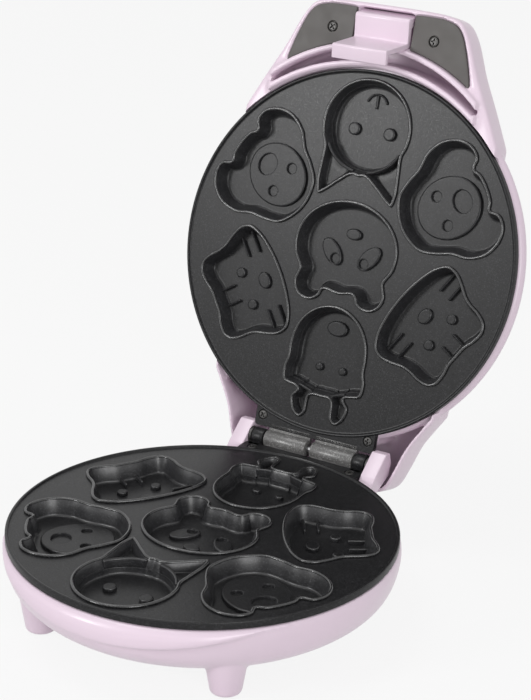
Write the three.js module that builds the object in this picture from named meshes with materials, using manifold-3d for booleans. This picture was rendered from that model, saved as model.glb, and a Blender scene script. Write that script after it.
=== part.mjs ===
// Mini cookie maker: two round cast plates, each with seven animal-head moulds, in a pastel housing.
// Millimetres, +Z up, +X to the right, the hinge at +Y. The table is z = 0.
// Everything is built round the middle of the lower plate's rim and raised at the end.
// The lid is built shut and then turned back about the hinge, so it stands open.
import * as THREE from "three";
import Module from "manifold-3d";
import { mergeVertices } from "three/addons/utils/BufferGeometryUtils.js";

const wasm = await Module();
wasm.setup();

// Play between pieces that touch, and how far each cut runs past the face it opens.
const play = 0.3;
const overrun = 1;

// Fineness of round surfaces, in sides.
const plateSides = 36;
const shellSides = 36;
const sheetSides = 18;
const smallSides = 8;
const crescentSteps = 14;
const footSides = 12;
const bossSides = 7;
const shankSides = 8;
const pointsPerStretch = 2;
const chordSlack = 0.85;
const cupSlack = 2;
const elementStretches = 16;
const elementSides = 6;
const insetSteps = 14;
const insetEase = 0.15;

// The plates' rim. Places in front of it and behind it are given as [to the side, beyond the rim].
const plateRadius = 104.4;
const beforeRim = ([across, beyond]) => [across, -plateRadius - beyond];
const behindRim = ([across, beyond]) => [across, plateRadius + beyond];

// Stance and hinge.
const rimAboveTable = 48;
const hingeReach = 9.94;
const hingeBack = plateRadius + hingeReach;
const hingeUp = 1.1;
const openAngle = 106.17;
const plateGap = 1;

// Cast plates.
const plateWallHeight = 4;
const plateThickness = 3.4;
const rimWidth = 1.5;
const rimStep = 0.5;
const mouldDepth = 9.5;
const shallowDepth = 5.5;
const mouldDraft = 1.9;
const beadWidth = 1.4;
const beadHeight = 0.8;
const beadFlank = 0.3;
const cupWall = 2.6;
const cupFloor = 2.4;
const bossRise = 2.4;
const bossSink = 0.8;
const bossDraftShare = 0.86;
const ribWidth = 1.4;
const ribRise = 1.8;
const pupilDepth = 1.6;

// Faces in the moulds: where each stands, and its own size. Outlines are shares of that size, as
// right-hand halves from one end of the face's middle line to the other.
const catAwayShare = 0.6897;
const catAway = plateRadius * catAwayShare;
const catRadiusShare = 0.2682;
const catRadius = plateRadius * catRadiusShare;
const catEarShares = [
  [0.89, 0.46], [0.9, 0.82], [0.91, 1.24], [0.84, 1.47], [0.7, 1.4], [0.42, 1.17], [0.15, 0.985],
];
const deerAwayShare = 0.546;
const deerAway = plateRadius * deerAwayShare;
const deerWidthShare = 0.2395;
const deerWidth = plateRadius * deerWidthShare;
const deerChinShare = 0.2586;
const deerChin = plateRadius * deerChinShare;
const deerHornShares = [
  [1, 0.3], [1.06, 0.56], [1, 0.86], [0.62, 0.98], [0.75, 1.18], [0.64, 1.52], [0.46, 1.62],
  [0.32, 1.5], [0.26, 1.09],
];
const deerBrowShares = [[1, 0.3], [1.06, 0.56], [1, 0.86], [0.62, 0.98], [0.3, 1.04]];
const pandaAwayShare = 0.0287;
const pandaAway = plateRadius * pandaAwayShare;
const pandaWidthShare = 0.3161;
const pandaWidth = plateRadius * pandaWidthShare;
const pandaHeightShare = 0.2634;
const pandaHeight = plateRadius * pandaHeightShare;
const pandaEarRadiusShare = 0.0958;
const pandaEarRadius = plateRadius * pandaEarRadiusShare;
const pandaEarShares = [0.585, 0.7];
const tigerAwayShare = 0.6513;
const tigerAway = plateRadius * tigerAwayShare;
const tigerBearing = 27.1;
const tigerTurn = 33;
const tigerSizeShare = 0.249;
const tigerSize = plateRadius * tigerSizeShare;
const tigerShares = [
  [0, -1], [0.58, -0.95], [1, -0.83], [1.25, -0.65], [1.3, -0.42], [1.22, -0.16], [1.08, 0.12],
  [1.04, 0.3], [1.03, 0.55], [0.95, 0.8], [0.78, 0.92], [0.5, 0.92], [0.26, 0.86], [0, 0.855],
];
const puppyAwayShare = 0.6772;
const puppyAway = plateRadius * puppyAwayShare;
const puppyBearing = -33.3;
const puppySizeShare = 0.3161;
const puppySize = plateRadius * puppySizeShare;
const puppyShares = [
  [0, -1], [0.27, -0.955], [0.515, -0.83], [0.68, -0.575], [0.79, -0.32], [0.98, -0.06], [1.045, 0.26],
  [0.955, 0.54], [0.79, 0.71], [0.62, 0.765], [0.49, 0.74], [0.37, 0.625], [0.25, 0.69], [0, 0.72],
];

// Plate flanges, barrels and knuckles at the hinge.
const flangeHalf = 38.5;
const flangeReach = 3.1;
const flangeBack = plateRadius + flangeReach;
const barrelRadius = 5.15;
const barrelInner = 1.6;
const barrelOuter = 29;
const knuckleInner = 29.6;
const knuckleOuter = 37;
const pinRadius = 1.5;
const pinHalf = 38.2;
const baseFlangeScrew = [32, -1.4];
const lidFlangeScrew = [34.5, -2.9];

// Screws.
const screwRadius = 1.5;
const screwHeadRadius = 2.6;
const screwHeadHeight = 1.5;
const slotWidth = 0.8;
const slotDepth = 0.7;

// Posts under each plate with what hangs on them.
const postSpreadShare = 0.4981;
const postSpread = plateRadius * postSpreadShare;
const postRadius = 4.2;
const postEnd = 21.5;
const postHoleDepth = 7;
const sheetThickness = 0.8;
const sheetFlatShare = 0.88;
const sheetInset = 10.4;
const sheetRadius = plateRadius - sheetInset;
const sheetEdgeUp = 7;
const elementRadiusShare = 0.5747;
const elementRadius = plateRadius * elementRadiusShare;
const elementTube = 3.2;
const elementArc = 330;
const thermostatRadius = 8;
const thermostatHeightShare = 0.53;
const fuseRadius = 2;
const fuseLength = 14;
const fuseAt = [26, -12];
const terminalSize = [22, 12];
const terminalHeightShare = 0.7;
const terminalBack = 42;

// Lower housing.
const shellWall = 2.5;
const bowlMargin = 1.1;
const bowlRadius = plateRadius + bowlMargin;
const bowlDepth = 37;
const bowlShares = [
  [0.55, -1], [0.72, -0.955], [0.806, -0.892], [0.88, -0.797], [0.943, -0.649], [0.98, -0.486],
  [1, -0.24], [0.992, -0.116],
];
const shellTop = 4.3;
const apronForward = 3.5;
const apronMargin = 0.9;
const apronRadius = plateRadius + apronMargin;
const apronDepth = 19.5;
const apronShares = [
  [0.972, -0.965], [0.992, -0.94], [1, -0.86], [0.998, -0.45], [0.984, -0.28], [0.96, -0.22],
];
const apronRun = 47.4;
const apronBack = plateRadius - apronRun;
const apronSlope = 0.3;
const earInner = 38.8;
const earOuter = 48;
const earRadius = 8.5;
const earHollowRadius = 6.2;
const earHollowDepth = 4;
const earRootRun = 12.4;
const earRoot = plateRadius - earRootRun;
const earRootTop = 4.8;
const earRootBottom = 21;
const earHeelReach = 1.2;
const earHeel = plateRadius + earHeelReach;
const earHeelBottom = 11;
const shelfHalf = 42;
const shelfReach = 1.9;
const shelfBack = plateRadius + shelfReach;
const shelfDepth = 12;
const frontFoot = [57, -37.1];
const rearFoot = [43.4, -12.9];
const footTopRadius = 11;
const footEndRadius = 5.9;
const frontFootTop = 26;
const rearFootTop = 17.5;
const footClear = 0.6;
const padRadius = 4.4;
const padHeight = 2;
const columnRadius = 5.6;
const wellRadius = 3.6;
const wellWeb = 3.4;
const outletRadius = 4;
const outletDrop = 25;

// Lid housing.
const domeMargin = 2.6;
const domeRadius = plateRadius + domeMargin;
const domeHeight = 44.5;
const domeShares = [
  [0.98, 0.097], [1, 0.16], [0.99, 0.26], [0.962, 0.39], [0.922, 0.53], [0.86, 0.68], [0.77, 0.82],
  [0.66, 0.91], [0.5, 0.97], [0.28, 0.995],
];
const platePlay = 0.9;
const handleSide = [80, -31.4];
const handleWaist = [70, -11.4];
const handleMiddle = [60.5, 6.6];
const handleEnd = [52, 25.6];
const handleCorner = [45.5, 33.6];
const handleTip = [34, 36.2];
const handleReach = 36.8;
const handleFront = plateRadius + handleReach;
const handleRun = 44.4;
const handleRoot = plateRadius - handleRun;
const handleHeight = 26;
const handleEdge = 1.2;
const handleFall = 9;
const handleWall = 2.8;
const fallShares = [[0.06, 0], [0.45, 0], [0.75, 0.2], [0.92, 0.55], [1, 1]];
const hoodSide = [72, -23.4];
const hoodWaist = [67.5, -16.4];
const hoodMiddle = [60, -3.4];
const hoodEnd = [55, 10.6];
const hoodCorner = [50, 21.6];
const hoodTip = [44, 24.8];
const hoodReach = 25.2;
const hoodBack = plateRadius + hoodReach;
const hoodRun = 44.4;
const hoodRoot = plateRadius - hoodRun;
const hoodHeight = 32;
const hoodFall = 9;
const hoodEdge = 0.8;
const bossReach = 16;
const pocketWall = 2.2;
const troughMargin = 4.6;
const troughInner = plateRadius + troughMargin;
const troughWidth = 7.1;
const troughForward = 17.3;
const troughOuter = troughInner + troughWidth - troughForward;
const troughAngle = 36.5;
const troughDepth = 9;
const ridgeWidth = 3.3;
const ridgeRise = 4;
const ridgeFlank = 0.7;
const lampSpread = 9;
const lampForward = 46;
const lampRadius = 3;
const lampHeight = 3.2;
const lampProud = 0.8;

// Handle covers and latch.
const coverThickness = 2.5;
const coverSide = [57.8, -1];
const coverMiddle = [53.5, 13.6];
const coverEnd = [48, 26.6];
const coverCorner = [43.5, 31.2];
const coverTip = [35, 33.6];
const coverPocketDepth = 17;
const coverLedge = 3;
const coverScrew = [32, 20.6];
const coverBossRadius = 4.6;
const bayHalf = 17.7;
const bayReach = 34;
const bayFront = plateRadius + bayReach;
const bayStart = 13.6;
const bayBack = plateRadius + bayStart;
const bayDepth = 15;
const bayWall = 2.2;
const bayLeadStart = 12.7;
const bayNotch = plateRadius + bayLeadStart;
const latchHalf = 17;
const latchReach = 32.6;
const latchFront = plateRadius + latchReach;
const latchStart = 15.8;
const latchBack = plateRadius + latchStart;
const latchProud = 4;
const latchPlate = 4.2;
const latchLeg = 25.5;
const latchWall = 3;
const hookReach = 5.2;
const hookHeight = 3;
const pivotReach = 30.6;
const pivotFront = plateRadius + pivotReach;
const pivotUp = 5;
const latchLean = 14;
const latchPivotRadius = 2.8;
const latchPinRadius = 1.1;
const latchPinHalf = 20.5;

// Converts between drawn geometry and solids that can be joined and cut.
function solid(geometry) {
  const bare = geometry.clone();
  bare.deleteAttribute("normal");
  bare.deleteAttribute("uv");
  const merged = mergeVertices(bare);
  const index = merged.index.array;
  const kept = [];
  for (let i = 0; i < index.length; i += 3) {
    const [a, b, c] = [index[i], index[i + 1], index[i + 2]];
    if (a !== b && b !== c && a !== c) kept.push(a, b, c);
  }
  const vertProperties = new Float32Array(merged.attributes.position.array);
  const make = (triVerts) => new wasm.Manifold(new wasm.Mesh({ numProp: 3, vertProperties, triVerts }));
  const made = make(new Uint32Array(kept));
  return made.volume() < 0 ? make(new Uint32Array(kept.reverse())) : made;
}

function geometryOf(made) {
  const { vertProperties, triVerts, numProp } = made.getMesh();
  const geometry = new THREE.BufferGeometry();
  const kept = new Float32Array((vertProperties.length / numProp) * 3);
  for (let i = 0; i < kept.length / 3; i += 1) {
    for (let k = 0; k < 3; k += 1) kept[3 * i + k] = vertProperties[numProp * i + k];
  }
  geometry.setAttribute("position", new THREE.BufferAttribute(kept, 3));
  geometry.setIndex(new THREE.BufferAttribute(new Uint32Array(triVerts), 1));
  geometry.computeVertexNormals();
  return geometry;
}

const joined = (parts) => parts.reduce((sum, part) => sum.add(part));
const cut = (body, tools) => tools.reduce((rest, tool) => rest.subtract(tool), body);
const radians = THREE.MathUtils.degToRad;
const mirrored = ([x, y]) => [[x, y], [-x, y]];

// A body between level outlines, each a list of [x, y], from the lowest to the highest.
function loft(levels) {
  const count = levels[0].outline.length;
  const positions = levels.flatMap(({ outline, z }) => outline.flatMap(([x, y]) => [x, y, z]));
  const faces = [];
  for (let level = 0; level + 1 < levels.length; level += 1) {
    for (let i = 0; i < count; i += 1) {
      const [a, b] = [level * count + i, level * count + ((i + 1) % count)];
      faces.push(a, b, b + count, a, b + count, a + count);
    }
  }
  const cap = (outline, start, up) => {
    const contour = outline.map(([x, y]) => new THREE.Vector2(x, y));
    for (const [a, b, c] of THREE.ShapeUtils.triangulateShape(contour, [])) {
      faces.push(...(up ? [start + a, start + b, start + c] : [start + a, start + c, start + b]));
    }
  };
  cap(levels[0].outline, 0, false);
  cap(levels.at(-1).outline, (levels.length - 1) * count, true);
  const geometry = new THREE.BufferGeometry();
  geometry.setAttribute("position", new THREE.BufferAttribute(new Float32Array(positions), 3));
  geometry.setIndex(faces);
  return solid(geometry);
}

// Turns a profile of [radius, z] round the z axis; it starts and ends on the axis.
function turned(profile, sides) {
  const points = profile.map(([radius, z]) => new THREE.Vector2(radius, z));
  return solid(new THREE.LatheGeometry(points, sides).rotateX(Math.PI / 2));
}

function cylinder(radius, from, to, [x, y] = [0, 0], sides = smallSides, topRadius = radius) {
  const geometry = new THREE.CylinderGeometry(topRadius, radius, to - from, sides).rotateX(Math.PI / 2);
  return solid(geometry.translate(x, y, (from + to) / 2));
}

// A bar along x round the point [y, z].
function bar(radius, from, to, [y, z], sides = smallSides) {
  const geometry = new THREE.CylinderGeometry(radius, radius, to - from, sides).rotateZ(Math.PI / 2);
  return solid(geometry.translate((from + to) / 2, y, z));
}

function box([x0, x1], [y0, y1], [z0, z1]) {
  const geometry = new THREE.BoxGeometry(x1 - x0, y1 - y0, z1 - z0);
  return solid(geometry.translate((x0 + x1) / 2, (y0 + y1) / 2, (z0 + z1) / 2));
}

// A slab with its outline in the y-z plane, from one x to another.
function slab(outline, from, to) {
  const shape = new THREE.Shape(outline.map(([y, z]) => new THREE.Vector2(y, z)));
  const geometry = new THREE.ExtrudeGeometry(shape, { depth: to - from, bevelEnabled: false, steps: 1 });
  const swap = new THREE.Matrix4().set(0, 0, 1, from, 1, 0, 0, 0, 0, 1, 0, 0, 0, 0, 0, 1);
  return solid(geometry.applyMatrix4(swap));
}

// A smooth line through control points.
function smooth(points, closed, perStretch = pointsPerStretch) {
  const controls = points.map(([x, y]) => new THREE.Vector3(x, y, 0));
  const curve = new THREE.CatmullRomCurve3(controls, closed, "centripetal");
  const steps = (closed ? controls.length : controls.length - 1) * perStretch;
  const drawn = curve.getPoints(steps).map(({ x, y }) => [x, y]);
  return closed ? drawn.slice(0, -1) : drawn;
}

// Drops the points of a closed outline that stand out least, until each left stands out enough.
function thinned(points, slack = chordSlack) {
  const kept = [...points];
  const proud = (i) => {
    const [px, py] = kept.at(i - 1);
    const [x, y] = kept[i];
    const [nx, ny] = kept[(i + 1) % kept.length];
    return Math.abs((nx - px) * (y - py) - (ny - py) * (x - px)) / Math.hypot(nx - px, ny - py);
  };
  for (;;) {
    const heights = kept.map((_, i) => proud(i));
    const least = heights.indexOf(Math.min(...heights));
    if (heights[least] > slack) return kept;
    kept.splice(least, 1);
  }
}

// Moves each side of a closed outline outward by the same distance (inward if negative).
function grown(outline, distance) {
  return outline.map(([x, y], i) => {
    const [px, py] = outline.at(i - 1);
    const [nx, ny] = outline[(i + 1) % outline.length];
    const [before, after] = [Math.hypot(x - px, y - py), Math.hypot(nx - x, ny - y)];
    const normal = [(y - py) / before + (ny - y) / after, (px - x) / before + (x - nx) / after];
    const square = normal[0] ** 2 + normal[1] ** 2;
    return [x + (2 * distance * normal[0]) / square, y + (2 * distance * normal[1]) / square];
  });
}

// Moves a closed outline inward (outward if negative) in small steps, easing it after each.
function inset(outline, distance) {
  let points = outline;
  for (let step = 0; step < insetSteps; step += 1) {
    const moved = points.map(([x, y], i) => {
      const [px, py] = points.at(i - 1);
      const [nx, ny] = points[(i + 1) % points.length];
      const length = Math.hypot(nx - px, ny - py);
      const share = distance / insetSteps / length;
      return [x - (ny - py) * share, y + (nx - px) * share];
    });
    points = moved.map(([x, y], i) => {
      const [px, py] = moved.at(i - 1);
      const [nx, ny] = moved[(i + 1) % moved.length];
      return [x + ((px + nx) / 2 - x) * insetEase, y + ((py + ny) / 2 - y) * insetEase];
    });
  }
  return points;
}

// Offsets an open profile of [radius, z] to its left by a distance.
function beside(profile, distance) {
  return profile.map(([r, z], i) => {
    const [r0, z0] = profile[Math.max(i - 1, 0)];
    const [r1, z1] = profile[Math.min(i + 1, profile.length - 1)];
    const length = Math.hypot(r1 - r0, z1 - z0);
    return [r - ((z1 - z0) * distance) / length, z + ((r1 - r0) * distance) / length];
  });
}

const everySecond = (points) => points.filter((_, i) => i % 2 === 0 || i === points.length - 1);
const bothHalves = (half) => [...half, ...half.slice(1, -1).reverse().map(([u, v]) => [-u, v])];
const scaled = (shares, size, height = size) => shares.map(([u, v]) => [u * size, v * height]);

function arc(radius, height, from, to, count, [u, v] = [0, 0]) {
  return Array.from({ length: count + 1 }, (_, i) => {
    const angle = radians(from + ((to - from) * i) / count);
    return [u + radius * Math.cos(angle), v + height * Math.sin(angle)];
  });
}

// Places points of a face, whose own v axis leads away from the plate's middle.
function placed(points, { away, bearing, turn }) {
  const [cosine, sine] = [Math.cos(radians(turn)), Math.sin(radians(turn))];
  const [x0, y0] = [away * Math.cos(radians(bearing)), away * Math.sin(radians(bearing))];
  return points.map(([u, v]) => [x0 + v * cosine + u * sine, y0 + v * sine - u * cosine]);
}

// The ellipse of a boss or hollow in a face, with its long axis turned by an angle.
function oval([u, v], across, along, angle = 0) {
  const [cosine, sine] = [Math.cos(radians(angle)), Math.sin(radians(angle))];
  const points = arc(across, along, 0, 360, bossSides).slice(0, -1);
  return points.map(([a, b]) => [u + a * cosine - b * sine, v + a * sine + b * cosine]);
}

// A straight rib from one point of a face to another.
function rib([u0, v0], [u1, v1]) {
  const length = Math.hypot(u1 - u0, v1 - v0);
  const [a, b] = [((v1 - v0) * ribWidth) / 2 / length, ((u1 - u0) * ribWidth) / 2 / length];
  return [[u0 + a, v0 - b], [u1 + a, v1 - b], [u1 - a, v1 + b], [u0 - a, v0 + b]];
}

// A band along part of a circle.
function band(radius, from, to, width, centre, count) {
  const outer = arc(radius + width / 2, radius + width / 2, from, to, count, centre);
  return [...outer, ...arc(radius - width / 2, radius - width / 2, to, from, count, centre)];
}

const twice = (make) => [1, -1].map(make);

// The five faces. Each gives its outline and what stands on or sinks into its mould's floor.
const cat = {
  outline: bothHalves([
    ...arc(catRadius, catRadius, -90, 15, 6),
    ...scaled(catEarShares, catRadius),
    [0, catRadius],
  ]),
  deep: arc(catRadius, catRadius, -90, 270, 22).slice(0, -1),
  bosses: twice((side) => {
    const middle = [side * catRadius * 0.4, catRadius * 0.06];
    return oval(middle, catRadius * 0.132, catRadius * 0.132);
  }),
  ribs: [
    band(catRadius * 0.23, 200, 340, ribWidth, [0, -catRadius * 0.46], 6),
    rib([0, -catRadius * 0.4], [0, -catRadius * 0.68]),
  ],
  hollows: [],
};
const deer = {
  outline: bothHalves([
    ...arc(deerWidth, deerChin, -90, 0, 5),
    ...scaled(deerHornShares, deerWidth),
    [0, deerWidth * 1.06],
  ]),
  deep: bothHalves([
    ...arc(deerWidth, deerChin, -90, 0, 5),
    ...scaled(deerBrowShares, deerWidth),
    [0, deerWidth * 1.06],
  ]),
  bosses: [
    ...twice((side) => {
      const middle = [side * deerWidth * 0.3, deerWidth * 0.416];
      return oval(middle, deerWidth * 0.092, deerWidth * 0.092);
    }),
    oval([0, -deerWidth * 0.528], deerWidth * 0.26, deerWidth * 0.18),
  ],
  ribs: [],
  hollows: [],
};
const pandaEar = [pandaEarShares[0] * pandaWidth, pandaEarShares[1] * pandaWidth];
const panda = {
  outline: bothHalves([
    ...arc(pandaWidth, pandaHeight, -90, 34, 7),
    ...arc(pandaEarRadius, pandaEarRadius, -30, 165, 7, pandaEar),
    [0, pandaHeight * 0.97],
  ]),
  bosses: [
    ...twice((side) => {
      const middle = [side * pandaWidth * 0.364, pandaWidth * 0.115];
      return oval(middle, pandaWidth * 0.152, pandaWidth * 0.267, side * 40);
    }),
    oval([0, -pandaWidth * 0.248], pandaWidth * 0.145, pandaWidth * 0.1),
  ],
  ribs: [],
  hollows: twice((side) => {
    const middle = [side * pandaWidth * 0.279, pandaWidth * 0.221];
    return oval(middle, pandaWidth * 0.09, pandaWidth * 0.09);
  }),
};
const tiger = {
  outline: bothHalves(scaled(tigerShares, tigerSize)),
  bosses: [
    ...twice((side) => {
      const middle = [side * tigerSize * 0.388, tigerSize * 0.12];
      return oval(middle, tigerSize * 0.115, tigerSize * 0.115);
    }),
    oval([0, -tigerSize * 0.375], tigerSize * 0.192, tigerSize * 0.146),
  ],
  ribs: twice((side) => [
    rib([side * tigerSize * 0.185, tigerSize * 0.385], [side * tigerSize * 0.185, tigerSize * 0.79]),
    rib([side * tigerSize * 0.66, -tigerSize * 0.5], [side * tigerSize * 1.13, -tigerSize * 0.5]),
    rib([side * tigerSize * 0.66, -tigerSize * 0.21], [side * tigerSize * 1.13, -tigerSize * 0.21]),
  ]).flat(),
  hollows: [],
};
const puppy = {
  outline: bothHalves(scaled(puppyShares, puppySize)),
  bosses: [oval([0, -puppySize * 0.136], puppySize * 0.53, puppySize * 0.6)],
  ribs: [],
  hollows: [
    ...twice((side) => {
      const middle = [side * puppySize * 0.267, -puppySize * 0.273];
      return oval(middle, puppySize * 0.09, puppySize * 0.09);
    }),
    oval([0, puppySize * 0.133], puppySize * 0.2, puppySize * 0.17),
  ],
};

// Where each face stands; the deer looks to the middle and the cat's chin points to the handle.
const moulds = [
  { face: cat, away: -catAway, bearing: 90, turn: 90 },
  { face: deer, away: deerAway, bearing: 90, turn: 90 },
  { face: panda, away: -pandaAway, bearing: 90, turn: 90 },
  ...twice((side) => ({
    face: tiger,
    away: tigerAway,
    bearing: 90 - side * (90 - tigerBearing),
    turn: 90 - side * (90 - tigerTurn),
  })),
  ...twice((side) => ({
    face: puppy,
    away: puppyAway,
    bearing: 90 - side * (90 - puppyBearing),
    turn: 90 - side * (90 - puppyBearing),
  })),
];

// The room inside a mould, from its floor to above the bead; its walls all lean alike.
function mouldRoom(outline, depth) {
  const lean = (mouldDraft * (depth - rimStep + beadHeight)) / (mouldDepth - rimStep + beadHeight);
  const opening = inset(outline, beadWidth);
  return loft([
    { outline: inset(outline, beadWidth + lean), z: -depth },
    { outline: opening, z: beadHeight - rimStep },
    { outline: opening, z: beadHeight - rimStep + overrun },
  ]);
}

// A blank plate, alike below and above: disc, rim, beads, cups, posts and moulds.
function plateBlank() {
  const fieldTop = -rimStep;
  const disc = turned([
    [0, -plateThickness],
    [plateRadius - rimWidth * 2, -plateThickness],
    [plateRadius - rimWidth * 2, -plateWallHeight],
    [plateRadius, -plateWallHeight],
    [plateRadius, -rimStep],
    [plateRadius - rimStep, 0],
    [plateRadius - rimWidth, 0],
    [plateRadius - rimWidth - rimStep, fieldTop],
    [0, fieldTop],
  ], plateSides);
  const made = [disc];
  const openings = [];
  const features = [];
  const hollows = [];
  for (const { face, ...place } of moulds) {
    const outer = thinned(smooth(placed(face.outline, place), true));
    const coarse = thinned(inset(outer, beadWidth), cupSlack);
    const beadTop = inset(outer, beadFlank);
    const floorZ = -mouldDepth;
    made.push(loft([
      { outline: outer, z: fieldTop - overrun },
      { outline: outer, z: fieldTop },
      { outline: beadTop, z: fieldTop + beadHeight },
    ]));
    made.push(loft([
      { outline: grown(coarse, cupWall), z: floorZ - cupFloor },
      { outline: grown(coarse, cupWall + beadWidth / 2), z: -plateThickness + overrun },
    ]));
    openings.push(mouldRoom(outer, face.deep ? shallowDepth : mouldDepth));
    if (face.deep) {
      openings.push(mouldRoom(thinned(smooth(placed(face.deep, place), true)), mouldDepth));
    }
    for (const boss of face.bosses) {
      const base = placed(boss, place);
      features.push(loft([
        { outline: base, z: floorZ - bossSink },
        { outline: base, z: floorZ },
        { outline: shrunk(base, bossDraftShare), z: floorZ + bossRise },
      ]));
    }
    for (const line of face.ribs) {
      const base = placed(line, place);
      features.push(loft([{ outline: base, z: floorZ - bossSink }, { outline: base, z: floorZ + ribRise }]));
    }
    for (const hollow of face.hollows) {
      const top = placed(hollow, place);
      hollows.push(loft([
        { outline: top, z: floorZ + bossRise - pupilDepth },
        { outline: top, z: floorZ + bossRise + overrun },
      ]));
    }
  }
  for (const at of posts) made.push(cylinder(postRadius, -postEnd, overrun - plateThickness, at));
  const holes = posts.map((at) => cylinder(screwRadius + play, -postEnd - overrun, postHoleDepth - postEnd, at));
  return cut(cut(joined(made), openings).add(joined(features)), [...hollows, ...holes]);
}

function shrunk(outline, share) {
  const count = outline.length;
  const x0 = outline.reduce((sum, [x]) => sum + x, 0) / count;
  const y0 = outline.reduce((sum, [, y]) => sum + y, 0) / count;
  return outline.map(([x, y]) => [x0 + (x - x0) * share, y0 + (y - y0) * share]);
}

const posts = [[1, -1], [-1, -1], [1, 1], [-1, 1]].map(([i, j]) => [i * postSpread, j * postSpread]);
const axis = [hingeBack, hingeUp];
const blank = plateBlank();

// A flange for two countersunk screws, level with the plate; z runs from the field down.
function flange([x, y]) {
  const slabBody = box(
    [-flangeHalf, flangeHalf],
    [plateRadius - rimWidth - shelfDepth, flangeBack],
    [-plateWallHeight, -rimStep],
  );
  const inside = cylinder(plateRadius - rimWidth, -plateWallHeight - overrun, overrun, [0, 0], plateSides);
  const tab = slabBody.subtract(inside);
  const holes = mirrored([x, y]).flatMap((at) => [
    cylinder(screwRadius + play, -plateWallHeight - overrun, overrun, at),
    cylinder(screwHeadRadius + play, -rimStep - screwHeadHeight - play, overrun, at),
  ]);
  return { tab, holes };
}

// Arms that carry hinge barrels on a plate: each a bar round the axis and a web to the flange.
function barrel(from, to, top, bottom) {
  const web = box([from, to], [flangeBack - rimWidth, hingeBack], [bottom, top]);
  const room = bar(barrelRadius, from, to, axis);
  const reach = box([from, to], [plateRadius - rimWidth, hingeBack], [bottom, top]);
  return joined([room, web, reach]);
}

const pinHole = bar(pinRadius + play, -pinHalf - overrun, pinHalf + overrun, axis);

function basePlate() {
  const { tab, holes } = flange(behindRim(baseFlangeScrew));
  const knuckles = twice((side) => {
    const [from, to] = side > 0 ? [knuckleInner, knuckleOuter] : [-knuckleOuter, -knuckleInner];
    return barrel(from, to, -rimStep, -plateWallHeight);
  });
  return cut(joined([blank, tab, ...knuckles]), [...holes, pinHole]);
}

// The upper plate: the same blank turned over, with its own flange and two long barrels.
const turnedOver = (made) => made.rotate([0, 180, 0]).translate([0, 0, plateGap]);

function lidPlate() {
  const { tab, holes } = flange(behindRim(lidFlangeScrew));
  const plate = turnedOver(cut(blank.add(tab), holes));
  const barrels = twice((side) => {
    const [from, to] = side > 0 ? [barrelInner, barrelOuter] : [-barrelOuter, -barrelInner];
    return barrel(from, to, plateGap + plateWallHeight, plateGap + rimStep);
  });
  return cut(joined([plate, ...barrels]), [pinHole]);
}

// A screw with its head up, first plain and then with a cross slot.
function plainScrew(headTop, shankEnd, at) {
  const head = cylinder(screwHeadRadius, headTop - screwHeadHeight, headTop, at);
  return head.add(cylinder(screwRadius, shankEnd, headTop - screwHeadHeight / 2, at, shankSides));
}

function screw(headTop, shankEnd, at) {
  const [x, y] = at;
  const reach = screwHeadRadius * 0.6;
  const depth = [headTop - slotDepth, headTop + overrun];
  const slots = [
    box([x - reach, x + reach], [y - slotWidth / 2, y + slotWidth / 2], depth),
    box([x - slotWidth / 2, x + slotWidth / 2], [y - reach, y + reach], depth),
  ];
  return cut(plainScrew(headTop, shankEnd, at), slots);
}

// A plain screw put in from below.
const screwFromBelow = (headBottom, shankEnd, at) =>
  plainScrew(-headBottom, -shankEnd, at).mirror([0, 0, 1]);

function reflector() {
  const top = -postEnd - play;
  const flat = sheetRadius * sheetFlatShare;
  const sheet = turned([
    [0, top - sheetThickness],
    [flat, top - sheetThickness],
    [sheetRadius + sheetThickness, top + sheetEdgeUp],
    [sheetRadius, top + sheetEdgeUp],
    [flat - sheetThickness / 2, top],
    [0, top],
  ], sheetSides);
  return cut(sheet, posts.map((at) => cylinder(screwRadius + play, top - overrun * 2, top + overrun, at)));
}

// The tubular heating element: an open ring under the cups.
function element() {
  const z = -mouldDepth - cupFloor - play - elementTube;
  const half = elementArc / 2;
  const line = arc(elementRadius, elementRadius, -90 - half, -90 + half, elementStretches);
  const points = line.map(([x, y]) => new THREE.Vector3(x, y, z));
  const path = new THREE.CatmullRomCurve3(points);
  const round = arc(elementTube, elementTube, 0, 360, elementSides).slice(0, -1);
  const shape = new THREE.Shape(round.map(([x, y]) => new THREE.Vector2(x, y)));
  const sweep = { steps: elementStretches, extrudePath: path, bevelEnabled: false };
  return solid(new THREE.ExtrudeGeometry(shape, sweep));
}

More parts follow.
